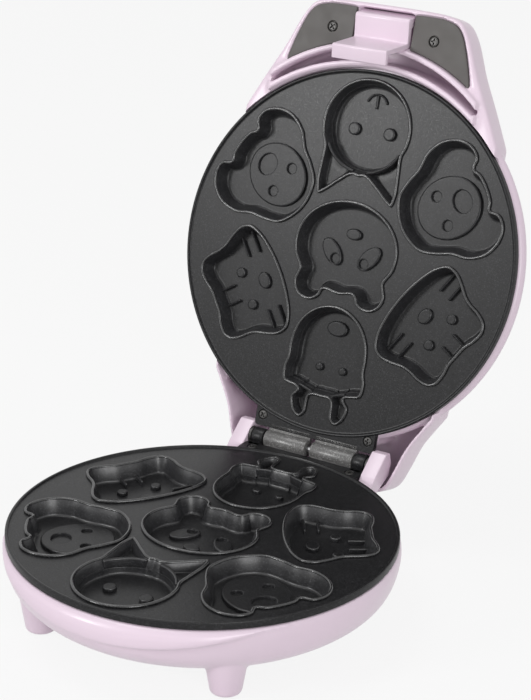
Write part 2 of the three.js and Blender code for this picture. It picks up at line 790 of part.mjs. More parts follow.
// Lower housing.
function baseShell() {
  const curve = smooth([...scaled(bowlShares, bowlRadius, bowlDepth)], false, 1);
  const outerProfile = [[0, -bowlDepth], ...curve, [curve.at(-1)[0], -shellTop], [0, -shellTop]];
  const bowl = turned(outerProfile, shellSides);
  const inner = beside(curve, shellWall);
  const hollow = turned([
    [0, inner[0][1]],
    ...everySecond(inner),
    [inner.at(-1)[0], -shellTop + overrun],
    [0, -shellTop + overrun],
  ], shellSides);

  const apronCurve = scaled(apronShares, apronRadius, apronDepth);
  const ring = turned([[0, apronCurve[0][1]], ...apronCurve, [0, apronCurve.at(-1)[1]]], shellSides);
  const front = apronRadius + apronForward + overrun;
  const wedge = slab([
    [-front, -shellTop],
    [-front, -(front - apronBack) * apronSlope - shellTop],
    [-apronBack, -shellTop],
  ], -front, front);
  const apron = ring.translate([0, -apronForward, 0]).intersect(wedge);

  const ears = twice((side) => ear(side > 0 ? [earInner, earOuter] : [-earOuter, -earInner]));
  const shelf = box([-shelfHalf, shelfHalf], [earRoot, shelfBack], [-shelfDepth, -shellTop]);
  const feet = footPlaces.map((at) => {
    const top = at[1] < 0 ? frontFootTop : rearFootTop;
    return cylinder(footEndRadius, -rimAboveTable + footClear, -top, at, footSides, footTopRadius);
  });

  const columns = joined(posts.map((at) => cylinder(columnRadius, -bowlDepth, -postEnd - play * 2 - sheetThickness, at)));
  const body = cut(joined([bowl, apron, shelf, ...ears, ...feet]), [hollow]).add(columns.intersect(bowl));
  const wells = posts.flatMap((at) => [
    cylinder(wellRadius, -rimAboveTable, -postEnd - play * 2 - sheetThickness - wellWeb, at),
    cylinder(screwRadius + play, -rimAboveTable, -postEnd, at),
  ]);
  const recesses = footPlaces.map((at) =>
    cylinder(padRadius + play, -rimAboveTable - overrun, -rimAboveTable + padHeight + play, at));
  const shelfHoles = mirrored(behindRim(baseFlangeScrew)).map((at) =>
    cylinder(screwRadius + play, -shelfDepth + screwHeadHeight, overrun, at));
  const outlet = bar(outletRadius, 0, bowlRadius, [0, -outletDrop]).rotate([0, 0, 90]);
  return cut(body, [...wells, ...recesses, ...shelfHoles, outlet]);
}

// A lug round the hinge axis, rooted on the bowl, with a blind hollow on its inner side.
function ear([from, to]) {
  const top = arc(earRadius, earRadius, 150, -60, 9, axis);
  const outline = [
    ...top,
    [earHeel, -earHeelBottom],
    [earHeel - shelfDepth / 2, -earRootBottom],
    [earRoot, -earRootBottom],
    [earRoot, -earRootTop],
    [earRoot + shelfDepth / 3, -earRootTop],
  ];
  const lug = slab(outline, from, to);
  const inner = from > 0 ? [from - overrun, from + earHollowDepth] : [to - earHollowDepth, to + overrun];
  return lug.subtract(bar(earHollowRadius, ...inner, axis));
}

const footPlaces = [...mirrored(beforeRim(frontFoot)), ...mirrored(behindRim(rearFoot))];

// How far a handle or hood has fallen in at a share of its height, as a share of its whole fall.
function fallAt(share) {
  const above = fallShares.findIndex(([h]) => h >= share);
  const [[h0, f0], [h1, f1]] = [fallShares[above - 1], fallShares[above]];
  return f0 + ((f1 - f0) * (share - h0)) / (h1 - h0);
}

// Lid housing, built shut.
function handleOutline(margin = 0) {
  const side = [handleTip, handleCorner, handleEnd, handleMiddle, handleWaist, handleSide].map(beforeRim);
  const half = [[0, -handleFront], ...smooth(side, false), [handleSide[0], -handleRoot], [0, -handleRoot]];
  return grown(bothHalves(half), -margin);
}

function hoodOutline(margin = 0) {
  const side = [hoodSide, hoodWaist, hoodMiddle, hoodEnd, hoodCorner, hoodTip].map(behindRim);
  const half = [[0, hoodRoot], [hoodSide[0], hoodRoot], ...smooth(side, false), [0, hoodBack]];
  return grown(bothHalves(half), -margin);
}

// The crescent between the plate and the handle, widened all round by a margin.
function crescent(margin) {
  const reach = troughAngle + THREE.MathUtils.radToDeg(margin / troughInner);
  const far = troughOuter + margin;
  const near = troughInner - margin;
  const end = Math.asin((near * Math.sin(radians(reach))) / far);
  const farAngle = THREE.MathUtils.radToDeg(end);
  return [
    ...arc(far, far, -90 - farAngle, -90 + farAngle, crescentSteps, [0, -troughForward]),
    ...arc(near, near, -90 + reach, -90 - reach, crescentSteps),
  ];
}

function coverOutline(side) {
  const margin = troughOuter + ridgeWidth + play;
  const innerArc = (x) => -troughForward - Math.sqrt(margin * margin - x * x);
  const start = bayHalf + bayWall / 4;
  const stretch = [0, 1, 2].map((i) => start + ((coverSide[0] - start) * i) / 3);
  const line = [
    ...stretch.map((x) => [x, innerArc(x)]).reverse(),
    [start, -bayFront + play],
    ...[coverTip, coverCorner, coverEnd, coverMiddle, coverSide].map(beforeRim),
  ];
  return side > 0 ? line : line.map(([x, y]) => [-x, y]).reverse();
}

function lidShell() {
  const off = (z) => z + plateGap;
  const curve = scaled(domeShares, domeRadius, domeHeight);
  const dome = turned([[0, curve[0][1]], ...curve, [0, domeHeight]], shellSides).translate([0, 0, plateGap]);
  const inner = beside(curve, shellWall);
  const hollow = turned([
    [0, shellTop - overrun],
    [inner[0][0], shellTop - overrun],
    ...everySecond(inner),
    [0, domeHeight - shellWall],
  ], shellSides).translate([0, 0, plateGap]);
  const handle = loft([
    { outline: handleOutline(handleEdge), z: off(0) },
    ...fallShares.map(([h, f]) => ({ outline: handleOutline(handleFall * f), z: off(handleHeight * h) })),
  ]);
  const [shoulder, brow] = [fallShares[1][0], fallShares[2][0]];
  const roomHeights = [troughDepth + handleWall, handleHeight * brow, handleHeight - handleWall];
  const handleRoom = loft(roomHeights.map((z) => ({
    outline: handleOutline(handleWall + handleFall * fallAt(z / handleHeight)),
    z: off(z),
  })));
  const hood = loft([
    { outline: hoodOutline(hoodEdge), z: off(rimStep) },
    ...fallShares.map(([h, f]) => ({ outline: hoodOutline(hoodFall * f), z: off(hoodHeight * h) })),
  ]);
  const pocket = loft([
    { outline: hoodOutline(pocketWall), z: -overrun },
    ...[hoodHeight * shoulder, hoodHeight * brow, hoodHeight - pocketWall].map((z) => ({
      outline: hoodOutline(pocketWall + hoodFall * fallAt(z / hoodHeight)),
      z: off(z),
    })),
  ]);
  const ridge = loft([
    { outline: crescent(ridgeWidth - ridgeFlank), z: off(-ridgeRise) },
    { outline: crescent(ridgeWidth), z: off(-ridgeRise + ridgeFlank) },
    { outline: crescent(ridgeWidth), z: off(overrun) },
  ]);
  const trough = loft([
    { outline: crescent(0), z: off(-ridgeRise - overrun) },
    { outline: crescent(-ridgeFlank), z: off(troughDepth) },
  ]);
  const seat = cylinder(plateRadius + platePlay, -hingeUp * 5, off(shellTop), [0, 0], plateSides);
  const covers = twice((side) => loft([
    { outline: grown(coverOutline(side), play), z: -overrun },
    { outline: grown(coverOutline(side), play), z: off(coverThickness + play) },
  ]));
  const handlePockets = twice((side) => loft([
    { outline: grown(coverOutline(side), -coverLedge), z: 0 },
    { outline: grown(coverOutline(side), -coverLedge * 1.3), z: off(coverPocketDepth) },
  ]));
  const coverBosses = mirrored(beforeRim(coverScrew)).map((at) =>
    cylinder(coverBossRadius, off(coverThickness + play), off(handleHeight - handleWall + overrun), at));
  const bay = box([-bayHalf, bayHalf], [-bayFront, -bayBack], [-ridgeRise - overrun, off(bayDepth)]);
  const bayLead = slab([
    [-bayBack - overrun, off(latchWall)],
    [-bayBack, off(latchWall)],
    [-bayNotch, off(-ridgeRise)],
    [-bayNotch, off(-ridgeRise - overrun)],
    [-bayBack - overrun, off(-ridgeRise - overrun)],
  ], -bayHalf, bayHalf);
  const bayHousing = box(
    [-bayHalf - coverLedge, bayHalf + coverLedge],
    [-handleFront, bayWall - bayBack],
    [0, off(bayDepth + bayWall)],
  );
  const pinReach = latchPinHalf + play;
  const latchHole = bar(latchPinRadius + play, -pinReach, pinReach, [-pivotFront, off(pivotUp)]);
  const flangeBosses = mirrored(behindRim(lidFlangeScrew)).map((at) =>
    cylinder(screwHeadRadius + play * 2, off(shellTop), off(hoodHeight - pocketWall + overrun), at));
  const flangeHoles = mirrored(behindRim(lidFlangeScrew)).map((at) =>
    cylinder(screwRadius + play, 0, off(bossReach - overrun), at));
  const coverHoles = mirrored(beforeRim(coverScrew)).map((at) =>
    cylinder(screwRadius + play, 0, off(coverPocketDepth - overrun), at));
  const lampHoles = lampPlaces.map((at) =>
    cylinder(lampRadius + play, domeHeight / 2, domeHeight * 2, at));
  const outside = joined([cut(joined([hood, handle]), [pocket]), dome, ridge]);
  const rooms = [hollow, seat, trough, ...covers, ...handlePockets, handleRoom.subtract(bayHousing)];
  const inside = cut(outside, rooms).add(joined([...flangeBosses, ...coverBosses]));
  return cut(cut(inside, [bay, bayLead]), [...flangeHoles, ...coverHoles, ...lampHoles, latchHole]);
}

const lampPlaces = mirrored([lampSpread, -lampForward]);

function latch() {
  const off = (z) => z + plateGap;
  const [pivotY, pivotZ] = [-pivotFront, off(pivotUp)];
  const across = [-latchHalf, latchHalf];
  const face = box(across, [-latchFront, -latchBack], [off(-latchProud), off(-latchProud + latchPlate)]);
  const legTop = off(-latchProud) + overrun;
  const legEnd = off(-latchProud - latchLeg);
  const leg = box([-latchHalf, latchHalf], [-latchBack - latchWall, -latchBack], [legEnd, legTop]);
  const hook = box(across, [-latchBack - latchWall, -latchBack + hookReach], [legEnd, legEnd + hookHeight]);
  const lobe = bar(latchPivotRadius, -latchHalf, latchHalf, [pivotY, pivotZ]);
  const web = box([-latchHalf, latchHalf], [-latchFront, pivotY], [off(-latchProud + overrun), pivotZ]);
  const pinWay = bar(latchPinRadius + play, -latchHalf - overrun, latchHalf + overrun, [pivotY, pivotZ]);
  const straight = joined([face, leg, hook, lobe, web]).subtract(pinWay);
  return straight.translate([0, -pivotY, -pivotZ]).rotate([latchLean, 0, 0]).translate([0, pivotY, pivotZ]);
}

// Puts a finished body on show under its name.
const root = new THREE.Group();
root.name = "mini_cookie_maker";
const colours = {
  shell: 0xe6d4e1,
  plate: 0x343436,
  steel: 0xb9bbbe,
  cover: 0x55524f,
  rubber: 0x2a2a2a,
  ceramic: 0xe8e4da,
  red: 0xb5322c,
  green: 0x2f9c4a,
};

function show(name, made, colour, onLid = false) {
  const material = new THREE.MeshStandardMaterial({ color: colours[colour] });
  const mesh = new THREE.Mesh(geometryOf(made.translate([0, 0, rimAboveTable])), material);
  mesh.name = name;
  if (onLid) {
    const pivot = new THREE.Vector3(0, hingeBack, hingeUp + rimAboveTable);
    const turn = new THREE.Matrix4().makeTranslation(pivot.x, pivot.y, pivot.z)
      .multiply(new THREE.Matrix4().makeRotationX(-radians(openAngle)))
      .multiply(new THREE.Matrix4().makeTranslation(-pivot.x, -pivot.y, -pivot.z));
    mesh.geometry.applyMatrix4(turn);
  }
  root.add(mesh);
}

const sheetBottom = -postEnd - play - sheetThickness;
show("base_shell", baseShell(), "shell");
show("base_plate", basePlate(), "plate");
show("base_element", element(), "steel");
show("base_reflector", reflector(), "steel");
const underSheet = sheetBottom - play;
const bowlFloor = -bowlDepth + shellWall + play;
const underRoom = underSheet - bowlFloor;
const thermostatEnd = underSheet - underRoom * thermostatHeightShare;
show("thermostat", cylinder(thermostatRadius, thermostatEnd, underSheet), "ceramic");
show("thermal_fuse", bar(fuseRadius, fuseAt[0] - fuseLength / 2, fuseAt[0] + fuseLength / 2,
  [fuseAt[1], underSheet - fuseRadius]), "ceramic");
const [terminalX, terminalY] = terminalSize;
show("terminal_block", box(
  [-terminalX / 2, terminalX / 2],
  [terminalBack - terminalY / 2, terminalBack + terminalY / 2],
  [bowlFloor, bowlFloor + underRoom * terminalHeightShare],
), "ceramic");
show("hinge_pin", bar(pinRadius, -pinHalf, pinHalf, axis), "steel");
const sides = ["right", "left"];
mirrored(behindRim(baseFlangeScrew)).forEach((at, i) =>
  show(`base_flange_screw_${sides[i]}`, screw(-rimStep, -shelfDepth + screwHeadHeight + play, at), "steel"));
posts.forEach((at, i) => {
  const headTop = sheetBottom - play - wellWeb - play - screwHeadHeight;
  const shankEnd = -postEnd + postHoleDepth - play;
  show(`base_screw_${i + 1}`, screwFromBelow(headTop, shankEnd, at), "steel");
});
footPlaces.forEach((at, i) =>
  show(`foot_pad_${i + 1}`, cylinder(padRadius, -rimAboveTable, -rimAboveTable + padHeight, at), "rubber"));

show("lid_shell", lidShell(), "shell", true);
show("lid_plate", lidPlate(), "plate", true);
show("lid_element", turnedOver(element()), "steel", true);
show("lid_reflector", turnedOver(reflector()), "steel", true);
mirrored(behindRim(lidFlangeScrew)).forEach((at, i) =>
  show(
    `lid_flange_screw_${sides[1 - i]}`,
    turnedOver(screw(-rimStep, overrun + play - bossReach, at)),
    "steel",
    true,
  ));
posts.forEach((at, i) => {
  const headTop = sheetBottom - play - screwHeadHeight;
  const shankEnd = -postEnd + postHoleDepth - play;
  show(`lid_sheet_screw_${i + 1}`, turnedOver(screwFromBelow(headTop, shankEnd, at)), "steel", true);
});
twice((side) => side).forEach((side, i) => {
  const outline = coverOutline(side);
  const body = loft([
    { outline, z: plateGap },
    { outline, z: plateGap + coverThickness },
  ]);
  const at = mirrored(beforeRim(coverScrew))[i];
  const holes = [
    cylinder(screwRadius + play, 0, coverThickness * 2, at),
    cylinder(screwHeadRadius + play, 0, plateGap + screwHeadHeight + play, at),
  ];
  show(`handle_cover_${sides[i]}`, cut(body, holes), "cover", true);
  const upright = screw(0, -coverPocketDepth + overrun + play, at);
  const fixing = upright.rotate([0, 180, 0]).translate([2 * at[0], 0, plateGap]);
  show(`cover_screw_${sides[i]}`, fixing, "steel", true);
});
lampPlaces.forEach((at, i) => {
  const top = domeHeight + plateGap + lampProud;
  const lens = cylinder(lampRadius, top - lampHeight, top, at);
  show(["ready_lamp_lens", "power_lamp_lens"][i], lens, ["green", "red"][i], true);
});
const latchPin = bar(latchPinRadius, -latchPinHalf, latchPinHalf, [-pivotFront, pivotUp + plateGap]);
show("latch_pin", latchPin, "steel", true);
show("latch", latch(), "shell", true);

// The origin goes under the middle of the whole part.
const bounds = new THREE.Box3().setFromObject(root);
const middle = bounds.getCenter(new THREE.Vector3());
for (const { geometry } of root.children) geometry.translate(-middle.x, -middle.y, -bounds.min.z);

export default root;
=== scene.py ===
from math import asin, atan2, cos, degrees, pi, radians, sin, sqrt

import bmesh
import bpy
import numpy as np
from mathutils import Matrix, Vector
from mathutils.geometry import delaunay_2d_cdt


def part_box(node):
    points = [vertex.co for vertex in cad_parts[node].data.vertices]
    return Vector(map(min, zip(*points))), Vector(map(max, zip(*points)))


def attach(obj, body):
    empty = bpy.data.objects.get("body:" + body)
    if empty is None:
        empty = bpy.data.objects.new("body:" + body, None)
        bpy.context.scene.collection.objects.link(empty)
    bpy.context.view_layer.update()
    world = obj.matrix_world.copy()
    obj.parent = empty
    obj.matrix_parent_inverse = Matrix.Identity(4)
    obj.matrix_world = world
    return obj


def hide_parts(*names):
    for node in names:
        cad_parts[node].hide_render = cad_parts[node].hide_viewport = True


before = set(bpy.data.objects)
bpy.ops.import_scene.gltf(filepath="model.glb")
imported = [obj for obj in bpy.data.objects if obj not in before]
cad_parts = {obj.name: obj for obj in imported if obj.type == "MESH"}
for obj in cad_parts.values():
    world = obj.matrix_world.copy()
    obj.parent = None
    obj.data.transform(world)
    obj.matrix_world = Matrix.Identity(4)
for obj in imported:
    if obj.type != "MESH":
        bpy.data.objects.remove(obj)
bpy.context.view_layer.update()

# The shut cookie maker is drawn in millimetres round the middle of the lower plate's rim.
MM = 0.001
HINGE_BACK, HINGE_UP = HINGE_AXIS = 114.34, 1.1
OPEN_ANGLE = radians(106.17)
PLATE_GAP = 1.0
CLIP_AXIS = (-135, 6)
CLIP_LEAN = radians(14)
PIN = sum((Vector(corner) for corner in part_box("hinge_pin")), Vector()) / 2
PLATE_MIDDLE = PIN - Vector((0, HINGE_BACK, HINGE_UP)) * MM
ON_BASE = Matrix.Translation(PLATE_MIDDLE) @ Matrix.Scale(MM, 4)
ON_LID = (
    Matrix.Translation(PIN) @ Matrix.Rotation(-OPEN_ANGLE, 4, "X") @ Matrix.Translation(-PIN) @ ON_BASE
)
TURNED_OVER = ON_LID @ Matrix.Translation((0, 0, PLATE_GAP)) @ Matrix.Rotation(pi, 4, "Y")


# Outlines

def arc(across, along, start, end, steps, middle=(0, 0)):
    angles = [radians(start + (end - start) * i / steps) for i in range(steps + 1)]
    return [(middle[0] + across * cos(a), middle[1] + along * sin(a)) for a in angles]


def circle(radius, sides, middle=(0, 0)):
    turn = [2 * pi * k / sides for k in range(sides)]
    return [(middle[0] + radius * cos(a), middle[1] + radius * sin(a)) for a in turn]


def scaled(shares, size):
    return [(u * size, v * size) for u, v in shares]


def both_halves(half):
    return half + [(-u, v) for u, v in reversed(half[1:-1])]


def blend(p, q, start, end, t):
    return p * ((end - t) / (end - start)) + q * ((t - start) / (end - start))


def flowing(points, closed=True, per=8):
    """A smooth line through points, with the same number of steps between each two."""
    p = [Vector(q) for q in points]
    count = len(p)
    stretches = count if closed else count - 1
    line = []
    for i in range(stretches):
        if closed:
            a, b, c, d = (p[(i + k) % count] for k in (-1, 0, 1, 2))
        else:
            b, c = p[i], p[i + 1]
            a = p[i - 1] if i else b * 2 - c
            d = p[i + 2] if i + 2 < count else c * 2 - b
        t1 = sqrt(max((b - a).length, 1e-6))
        t2 = t1 + sqrt(max((c - b).length, 1e-6))
        t3 = t2 + sqrt(max((d - c).length, 1e-6))
        for k in range(per):
            t = t1 + (t2 - t1) * k / per
            ab, bc, cd = blend(a, b, 0, t1, t), blend(b, c, t1, t2, t), blend(c, d, t2, t3, t)
            q = blend(blend(ab, bc, 0, t2, t), blend(bc, cd, t1, t3, t), t1, t2, t)
            line.append((q.x, q.y))
    if not closed:
        line.append(tuple(p[-1]))
    return line


class Edge:
    """A closed outline that can be drawn further in or out without crossing itself."""

    def __init__(self, outline):
        self.points = np.array(outline, dtype=float)
        along = np.roll(self.points, -1, 0) - np.roll(self.points, 1, 0)
        inward = np.stack([-along[:, 1], along[:, 0]], 1)
        for _ in range(2):
            inward /= np.linalg.norm(inward, axis=1)[:, None]
            inward = inward + (np.roll(inward, 1, 0) + np.roll(inward, -1, 0)) / 2
        self.inward = inward / np.linalg.norm(inward, axis=1)[:, None]
        self.reach = np.full(len(self.points), 9.0)
        still = np.ones(len(self.points), bool)
        for step in np.arange(0.4, 9.0, 0.2):
            moved = self.points + self.inward * step
            gaps = np.linalg.norm(moved[:, None] - self.points[None], axis=2).min(1)
            met = still & (gaps < step * 0.985 - 0.03)
            self.reach[met] = step - 0.2
            still &= ~met

    def at(self, distance):
        going = np.minimum(distance, self.reach) if distance > 0 else distance
        return self.points + self.inward * np.broadcast_to(going, self.reach.shape)[:, None]

    def levels(self, profile):
        """Rings for a profile of (distance, z); a ring that meets another stops there."""
        distances, heights = zip(*profile)
        rings = []
        for distance, height in profile:
            z = np.where(distance > self.reach, np.interp(self.reach, distances, heights), height)
            rings.append([(x, y, h) for (x, y), h in zip(self.at(distance), z)])
        return rings


class Form:
    """Points and faces of a piece, in millimetres of the shut cookie maker."""

    def __init__(self):
        self.points, self.faces = [], []

    def ring(self, outline, z=None):
        start = len(self.points)
        self.points += [tuple(p) if z is None else (p[0], p[1], z) for p in outline]
        return list(range(start, len(self.points)))

    def wall(self, rings):
        for a, b in zip(rings, rings[1:]):
            after = [(i + 1) % len(a) for i in range(len(a))]
            self.faces += [(a[i], a[j], b[j], b[i]) for i, j in enumerate(after)]

    def sheet(self, outer, holes=(), down=False):
        """Fills a flat loop, less the holes in it; a loop that crosses itself does no harm."""
        loops = [outer, *holes]
        order = [i for loop in loops for i in loop]
        edges = []
        for loop in loops:
            first = len(edges)
            edges += [(first + k, first + (k + 1) % len(loop)) for k in range(len(loop))]
        flat = [Vector(self.points[i][:2]) for i in order]
        spots, _, faces, origins, _, _ = delaunay_2d_cdt(flat, edges, [], 1, 1e-5)
        height = self.points[outer[0]][2]
        index = []
        for spot, origin in zip(spots, origins):
            if origin:
                index.append(order[origin[0]])
            else:
                index.append(len(self.points))
                self.points.append((spot.x, spot.y, height))
        at = np.array([tuple(spot) for spot in spots])
        middles = np.array([at[list(face)].mean(0) for face in faces])
        kept = np.ones(len(faces), bool)
        for loop in loops:
            ring = np.array([self.points[i][:2] for i in loop])[None] - middles[:, None]
            after = np.roll(ring, -1, 1)
            cross = ring[..., 0] * after[..., 1] - ring[..., 1] * after[..., 0]
            turns = np.arctan2(cross, (ring * after).sum(2)).sum(1) / (2 * pi)
            kept &= (abs(turns) > 0.5) == (loop is outer)
        for face, keep in zip(faces, kept):
            a, b, c = at[list(face)][:3]
            spun = (b[0] - a[0]) * (c[1] - a[1]) - (b[1] - a[1]) * (c[0] - a[0])
            if keep and abs(spun) > 1e-9:
                corners = [index[k] for k in face]
                self.faces.append(tuple(corners if (spun > 0) != down else corners[::-1]))

    def closed(self, rings):
        """Rings from the lowest to the highest, with both ends shut."""
        self.sheet(rings[0], down=True)
        self.wall(rings)
        self.sheet(rings[-1])

    def turned(self, profile, sides=96, middle=(0, 0), shut=True):
        """Turns a profile of (radius, z), from the lowest end up the outside."""
        rings = [self.ring(circle(radius, sides, middle), z) for radius, z in profile]
        (self.closed if shut else self.wall)(rings)
        return self

    def add(self, other, place=None):
        start = len(self.points)
        self.points += [tuple(place @ Vector(p)) if place else p for p in other.points]
        self.faces += [tuple(i + start for i in face) for face in other.faces]
        return self

    def mesh(self, name, place=None):
        made = bpy.data.meshes.new(name)
        made.from_pydata([place @ Vector(p) if place else p for p in self.points], [], self.faces)
        made.update()
        return made


def tablet(outline, low, high, edge=0.4, holes=(), steps=3):
    """A flat piece with rounded rims; holes are (outline, floor) and shut at their floor."""
    form = Form()
    rim = Edge(outline)
    turn = [radians(90 * k / steps) for k in range(steps + 1)]
    lower = [(edge * (1 - sin(a)), low + edge * (1 - cos(a))) for a in turn]
    upper = [(edge * (1 - cos(a)), high - edge * (1 - sin(a))) for a in turn]
    levels = [(edge * 1.3, low), *lower, *upper, (edge * 1.3, high)]
    rings = [form.ring(rim.at(d), z) for d, z in levels]
    form.sheet(rings[0], down=True)
    form.wall(rings)
    mouths = []
    for hole, floor in holes:
        lip = Edge(hole)
        small = edge * 0.6
        down = [
            (-small * 1.4, high), (-small, high), (-small * 0.3, high - small * 0.3), (0, high - small),
            (0, floor),
        ]
        inner = [form.ring(lip.at(d), z) for d, z in down]
        form.wall(inner)
        form.sheet(inner[-1])
        mouths.append(inner[0])
    form.sheet(rings[-1], mouths)
    return form


def rod(start, end, middle, radius, bevel, sides=48):
    """A round bar along x with bevelled ends, round the point (y, z)."""
    form = Form().turned([
        (radius - bevel, start), (radius - bevel * 0.3, start + bevel * 0.3), (radius, start + bevel),
        (radius, end - bevel), (radius - bevel * 0.3, end - bevel * 0.3), (radius - bevel, end),
    ], sides)
    form.points = [(z, middle[0] + x, middle[1] + y) for x, y, z in form.points]
    return form


def post(radius, low, high, sides, middle=(0, 0)):
    """A plain upright column, closed at both ends."""
    return Form().turned([(0.5, low), (radius, low), (radius, high), (0.5, high)], sides, middle)


def rounded(corners, radius, steps=5):
    """A closed outline with each corner rounded."""
    line = []
    for i in range(len(corners)):
        before, here, after = (Vector(corners[(i + k) % len(corners)]) for k in (-1, 0, 1))
        a, b = (before - here).normalized(), (after - here).normalized()
        size = radius[i] if isinstance(radius, list) else radius
        half = a.angle(b) / 2
        if size <= 0 or half > radians(88):
            line.append(tuple(here))
            continue
        centre = here + (a + b).normalized() * size / sin(half)
        start, end = (here + side * size / np.tan(half) - centre for side in (a, b))
        sweep = start.angle_signed(end)
        for k in range(steps + 1):
            spun = start.copy()
            spun.rotate(Matrix.Rotation(-sweep * k / steps, 2))
            line.append(tuple(centre + spun))
    return line


def beam(outline, start, end, edge=0.4):
    """A piece along x with a rounded outline in y and z."""
    form = tablet(outline, start, end, edge)
    form.points = [(z, x, y) for x, y, z in form.points]
    return form


# Nodes

def add_node(tree, kind, inputs=None, **settings):
    """A new node with its settings, and with values for its inputs by name or number."""
    node = tree.nodes.new(kind)
    for key, value in settings.items():
        setattr(node, key, value)
    for socket, value in (inputs or {}).items():
        node.inputs[socket].default_value = value
    return node


def wire(tree, rows):
    """Links a node's output to a node's input for each row."""
    for start, output, end, socket in rows:
        tree.links.new(start.outputs[output], end.inputs[socket])


# Finishes

def finish(name, colour, roughness, metallic=0.0, **sockets):
    material = bpy.data.materials.new(name)
    material.use_nodes = True
    tree = material.node_tree
    shader = tree.nodes["Principled BSDF"]
    values = {"Base Color": (*colour, 1), "Roughness": roughness, "Metallic": metallic, **sockets}
    for socket, value in values.items():
        shader.inputs[socket.replace("_", " ")].default_value = value
    return material, tree, shader, tree.nodes.new("ShaderNodeTexCoord").outputs["Object"]


def cloudy(tree, place, scale, detail=2.0, stretch=None):
    noise = add_node(tree, "ShaderNodeTexNoise", {"Scale": scale, "Detail": detail})
    if stretch:
        mapping = add_node(tree, "ShaderNodeMapping", {"Scale": stretch})
        tree.links.new(place, mapping.inputs["Vector"])
        place = mapping.outputs["Vector"]
    tree.links.new(place, noise.inputs["Vector"])
    return noise.outputs["Fac"]


def ramp(tree, source, *stops):
    node = tree.nodes.new("ShaderNodeValToRGB")
    elements = node.color_ramp.elements
    while len(elements) < len(stops):
        elements.new(0.5)
    for element, (position, colour) in zip(elements, stops):
        element.position = position
        element.color = (*colour, 1)
    tree.links.new(source, node.inputs["Fac"])
    return node.outputs["Color"]


def between(tree, source, low, high):
    """Spreads the middle of a noise over the range from low to high."""
    ends = {"From Min": 0.3, "From Max": 0.7, "To Min": low, "To Max": high}
    node = add_node(tree, "ShaderNodeMapRange", ends)
    tree.links.new(source, node.inputs["Value"])
    return node.outputs["Result"]


def dress(tree, shader, colour, rough, grain, strength, distance):
    """Gives a shader its colour, its roughness and a bump from a grain."""
    bump = add_node(tree, "ShaderNodeBump", {"Strength": strength, "Distance": distance})
    tree.links.new(grain, bump.inputs["Height"])
    for socket, source in (("Base Color", colour), ("Roughness", rough), ("Normal", bump.outputs[0])):
        tree.links.new(source, shader.inputs[socket])


def plastic(name, low, high, tint_noise, dull_noise, dullness, grain, strength, **sockets):
    """Plastic whose tint and roughness vary a little, with a fine grain."""
    material, tree, shader, place = finish(name, low, dullness[0], **sockets)
    tint = ramp(tree, cloudy(tree, place, *tint_noise), (0.3, low), (0.7, high))
    rough = between(tree, cloudy(tree, place, *dull_noise), *dullness)
    dress(tree, shader, tint, rough, cloudy(tree, place, grain), strength, 0.0001)
    return material


def non_stick(name, dark, light, roughness, shine, grit=0.16):
    """Dark coating with fine grain and a few brighter flakes."""
    material, tree, shader, place = finish(name, dark, roughness, Specular_IOR_Level=shine)
    grain = cloudy(tree, place, 1900, 3)
    flakes = add_node(tree, "ShaderNodeTexVoronoi", {"Scale": 2200})
    parted = tree.nodes.new("ShaderNodeSeparateColor")
    mix = add_node(tree, "ShaderNodeMix", {"B": (*(c * 2.4 for c in light), 1)}, data_type="RGBA")
    tree.links.new(place, flakes.inputs["Vector"])
    tree.links.new(flakes.outputs["Color"], parted.inputs["Color"])
    glint = ramp(tree, parted.outputs["Red"], (0.0, (0, 0, 0)), (0.8, (0, 0, 0)), (0.98, (1, 1, 1)))
    tree.links.new(glint, mix.inputs["Factor"])
    tree.links.new(ramp(tree, grain, (0.35, dark), (0.68, light)), mix.inputs["A"])
    rough = between(tree, grain, roughness - 0.05, roughness + 0.07)
    dress(tree, shader, mix.outputs["Result"], rough, grain, grit, 0.00008)
    return material


# Shades of the noise, spread of the roughness, strength and depth of the bump
METAL = (0.82, 1.1), (0.07, 0.08), (0.1, 0.00008)
DULL = (0.85, 1.12), (0.06, 0.06), (0.12, 0.0001)


def grained(name, colour, roughness, scale, look, metallic=0.0, stretch=None, **sockets):
    """A finish whose shade and roughness follow a fine noise, which may be stretched."""
    material, tree, shader, place = finish(name, colour, roughness, metallic, **sockets)
    grain = cloudy(tree, place, scale, 3, stretch)
    shades, spread, bump = look
    dark, light = (tuple(min(1, c * shade) for c in colour) for shade in shades)
    rough = between(tree, grain, roughness - spread[0], roughness + spread[1])
    dress(tree, shader, ramp(tree, grain, (0.3, dark), (0.7, light)), rough, grain, *bump)
    return material


lilac = plastic(
    "lilac_moulded_plastic", (0.765, 0.63, 0.73), (0.785, 0.65, 0.75), (9,), (60,), (0.29, 0.33), 1500, 0.03,
    Coat_Weight=0.12, Coat_Roughness=0.2,
)
cover_plastic = plastic(
    "grey_cover_plastic", (0.096, 0.09, 0.086), (0.106, 0.1, 0.096), (90, 4), (130, 3), (0.44, 0.54), 1200,
    0.06, Specular_IOR_Level=0.3,
)
coating = non_stick("non_stick_coating", (0.006, 0.006, 0.0065), (0.015, 0.015, 0.016), 0.31, 0.25)
# Painted sheen: the plate's coating with a lighter colour and more specular, put on the steep mould walls.
painted_sheen_wall_coating = non_stick("painted_sheen_wall_coating", (0.012, 0.012, 0.013), (0.026, 0.026, 0.028), 0.33, 0.6)
# The plate's coating made smoother and shinier for the beads, with a lighter colour as a painted highlight.
bead_coating_with_painted_highlight = non_stick("bead_coating_with_painted_highlight", (0.01, 0.01, 0.0105), (0.024, 0.024, 0.025), 0.22, 0.75)
barrel_coating = non_stick("barrel_coating", (0.095, 0.093, 0.091), (0.13, 0.128, 0.126), 0.3, 0.6, 0.05)
black_steel = grained("blackened_steel", (0.08, 0.078, 0.076), 0.4, 900, METAL, 0.7)
bright_steel = grained("bright_steel", (0.6, 0.6, 0.61), 0.3, 900, METAL, 1.0, (1, 0.05, 1))
sheet_steel = grained("pressed_sheet_steel", (0.62, 0.62, 0.62), 0.38, 500, METAL, 1.0, (0.08, 1, 1))
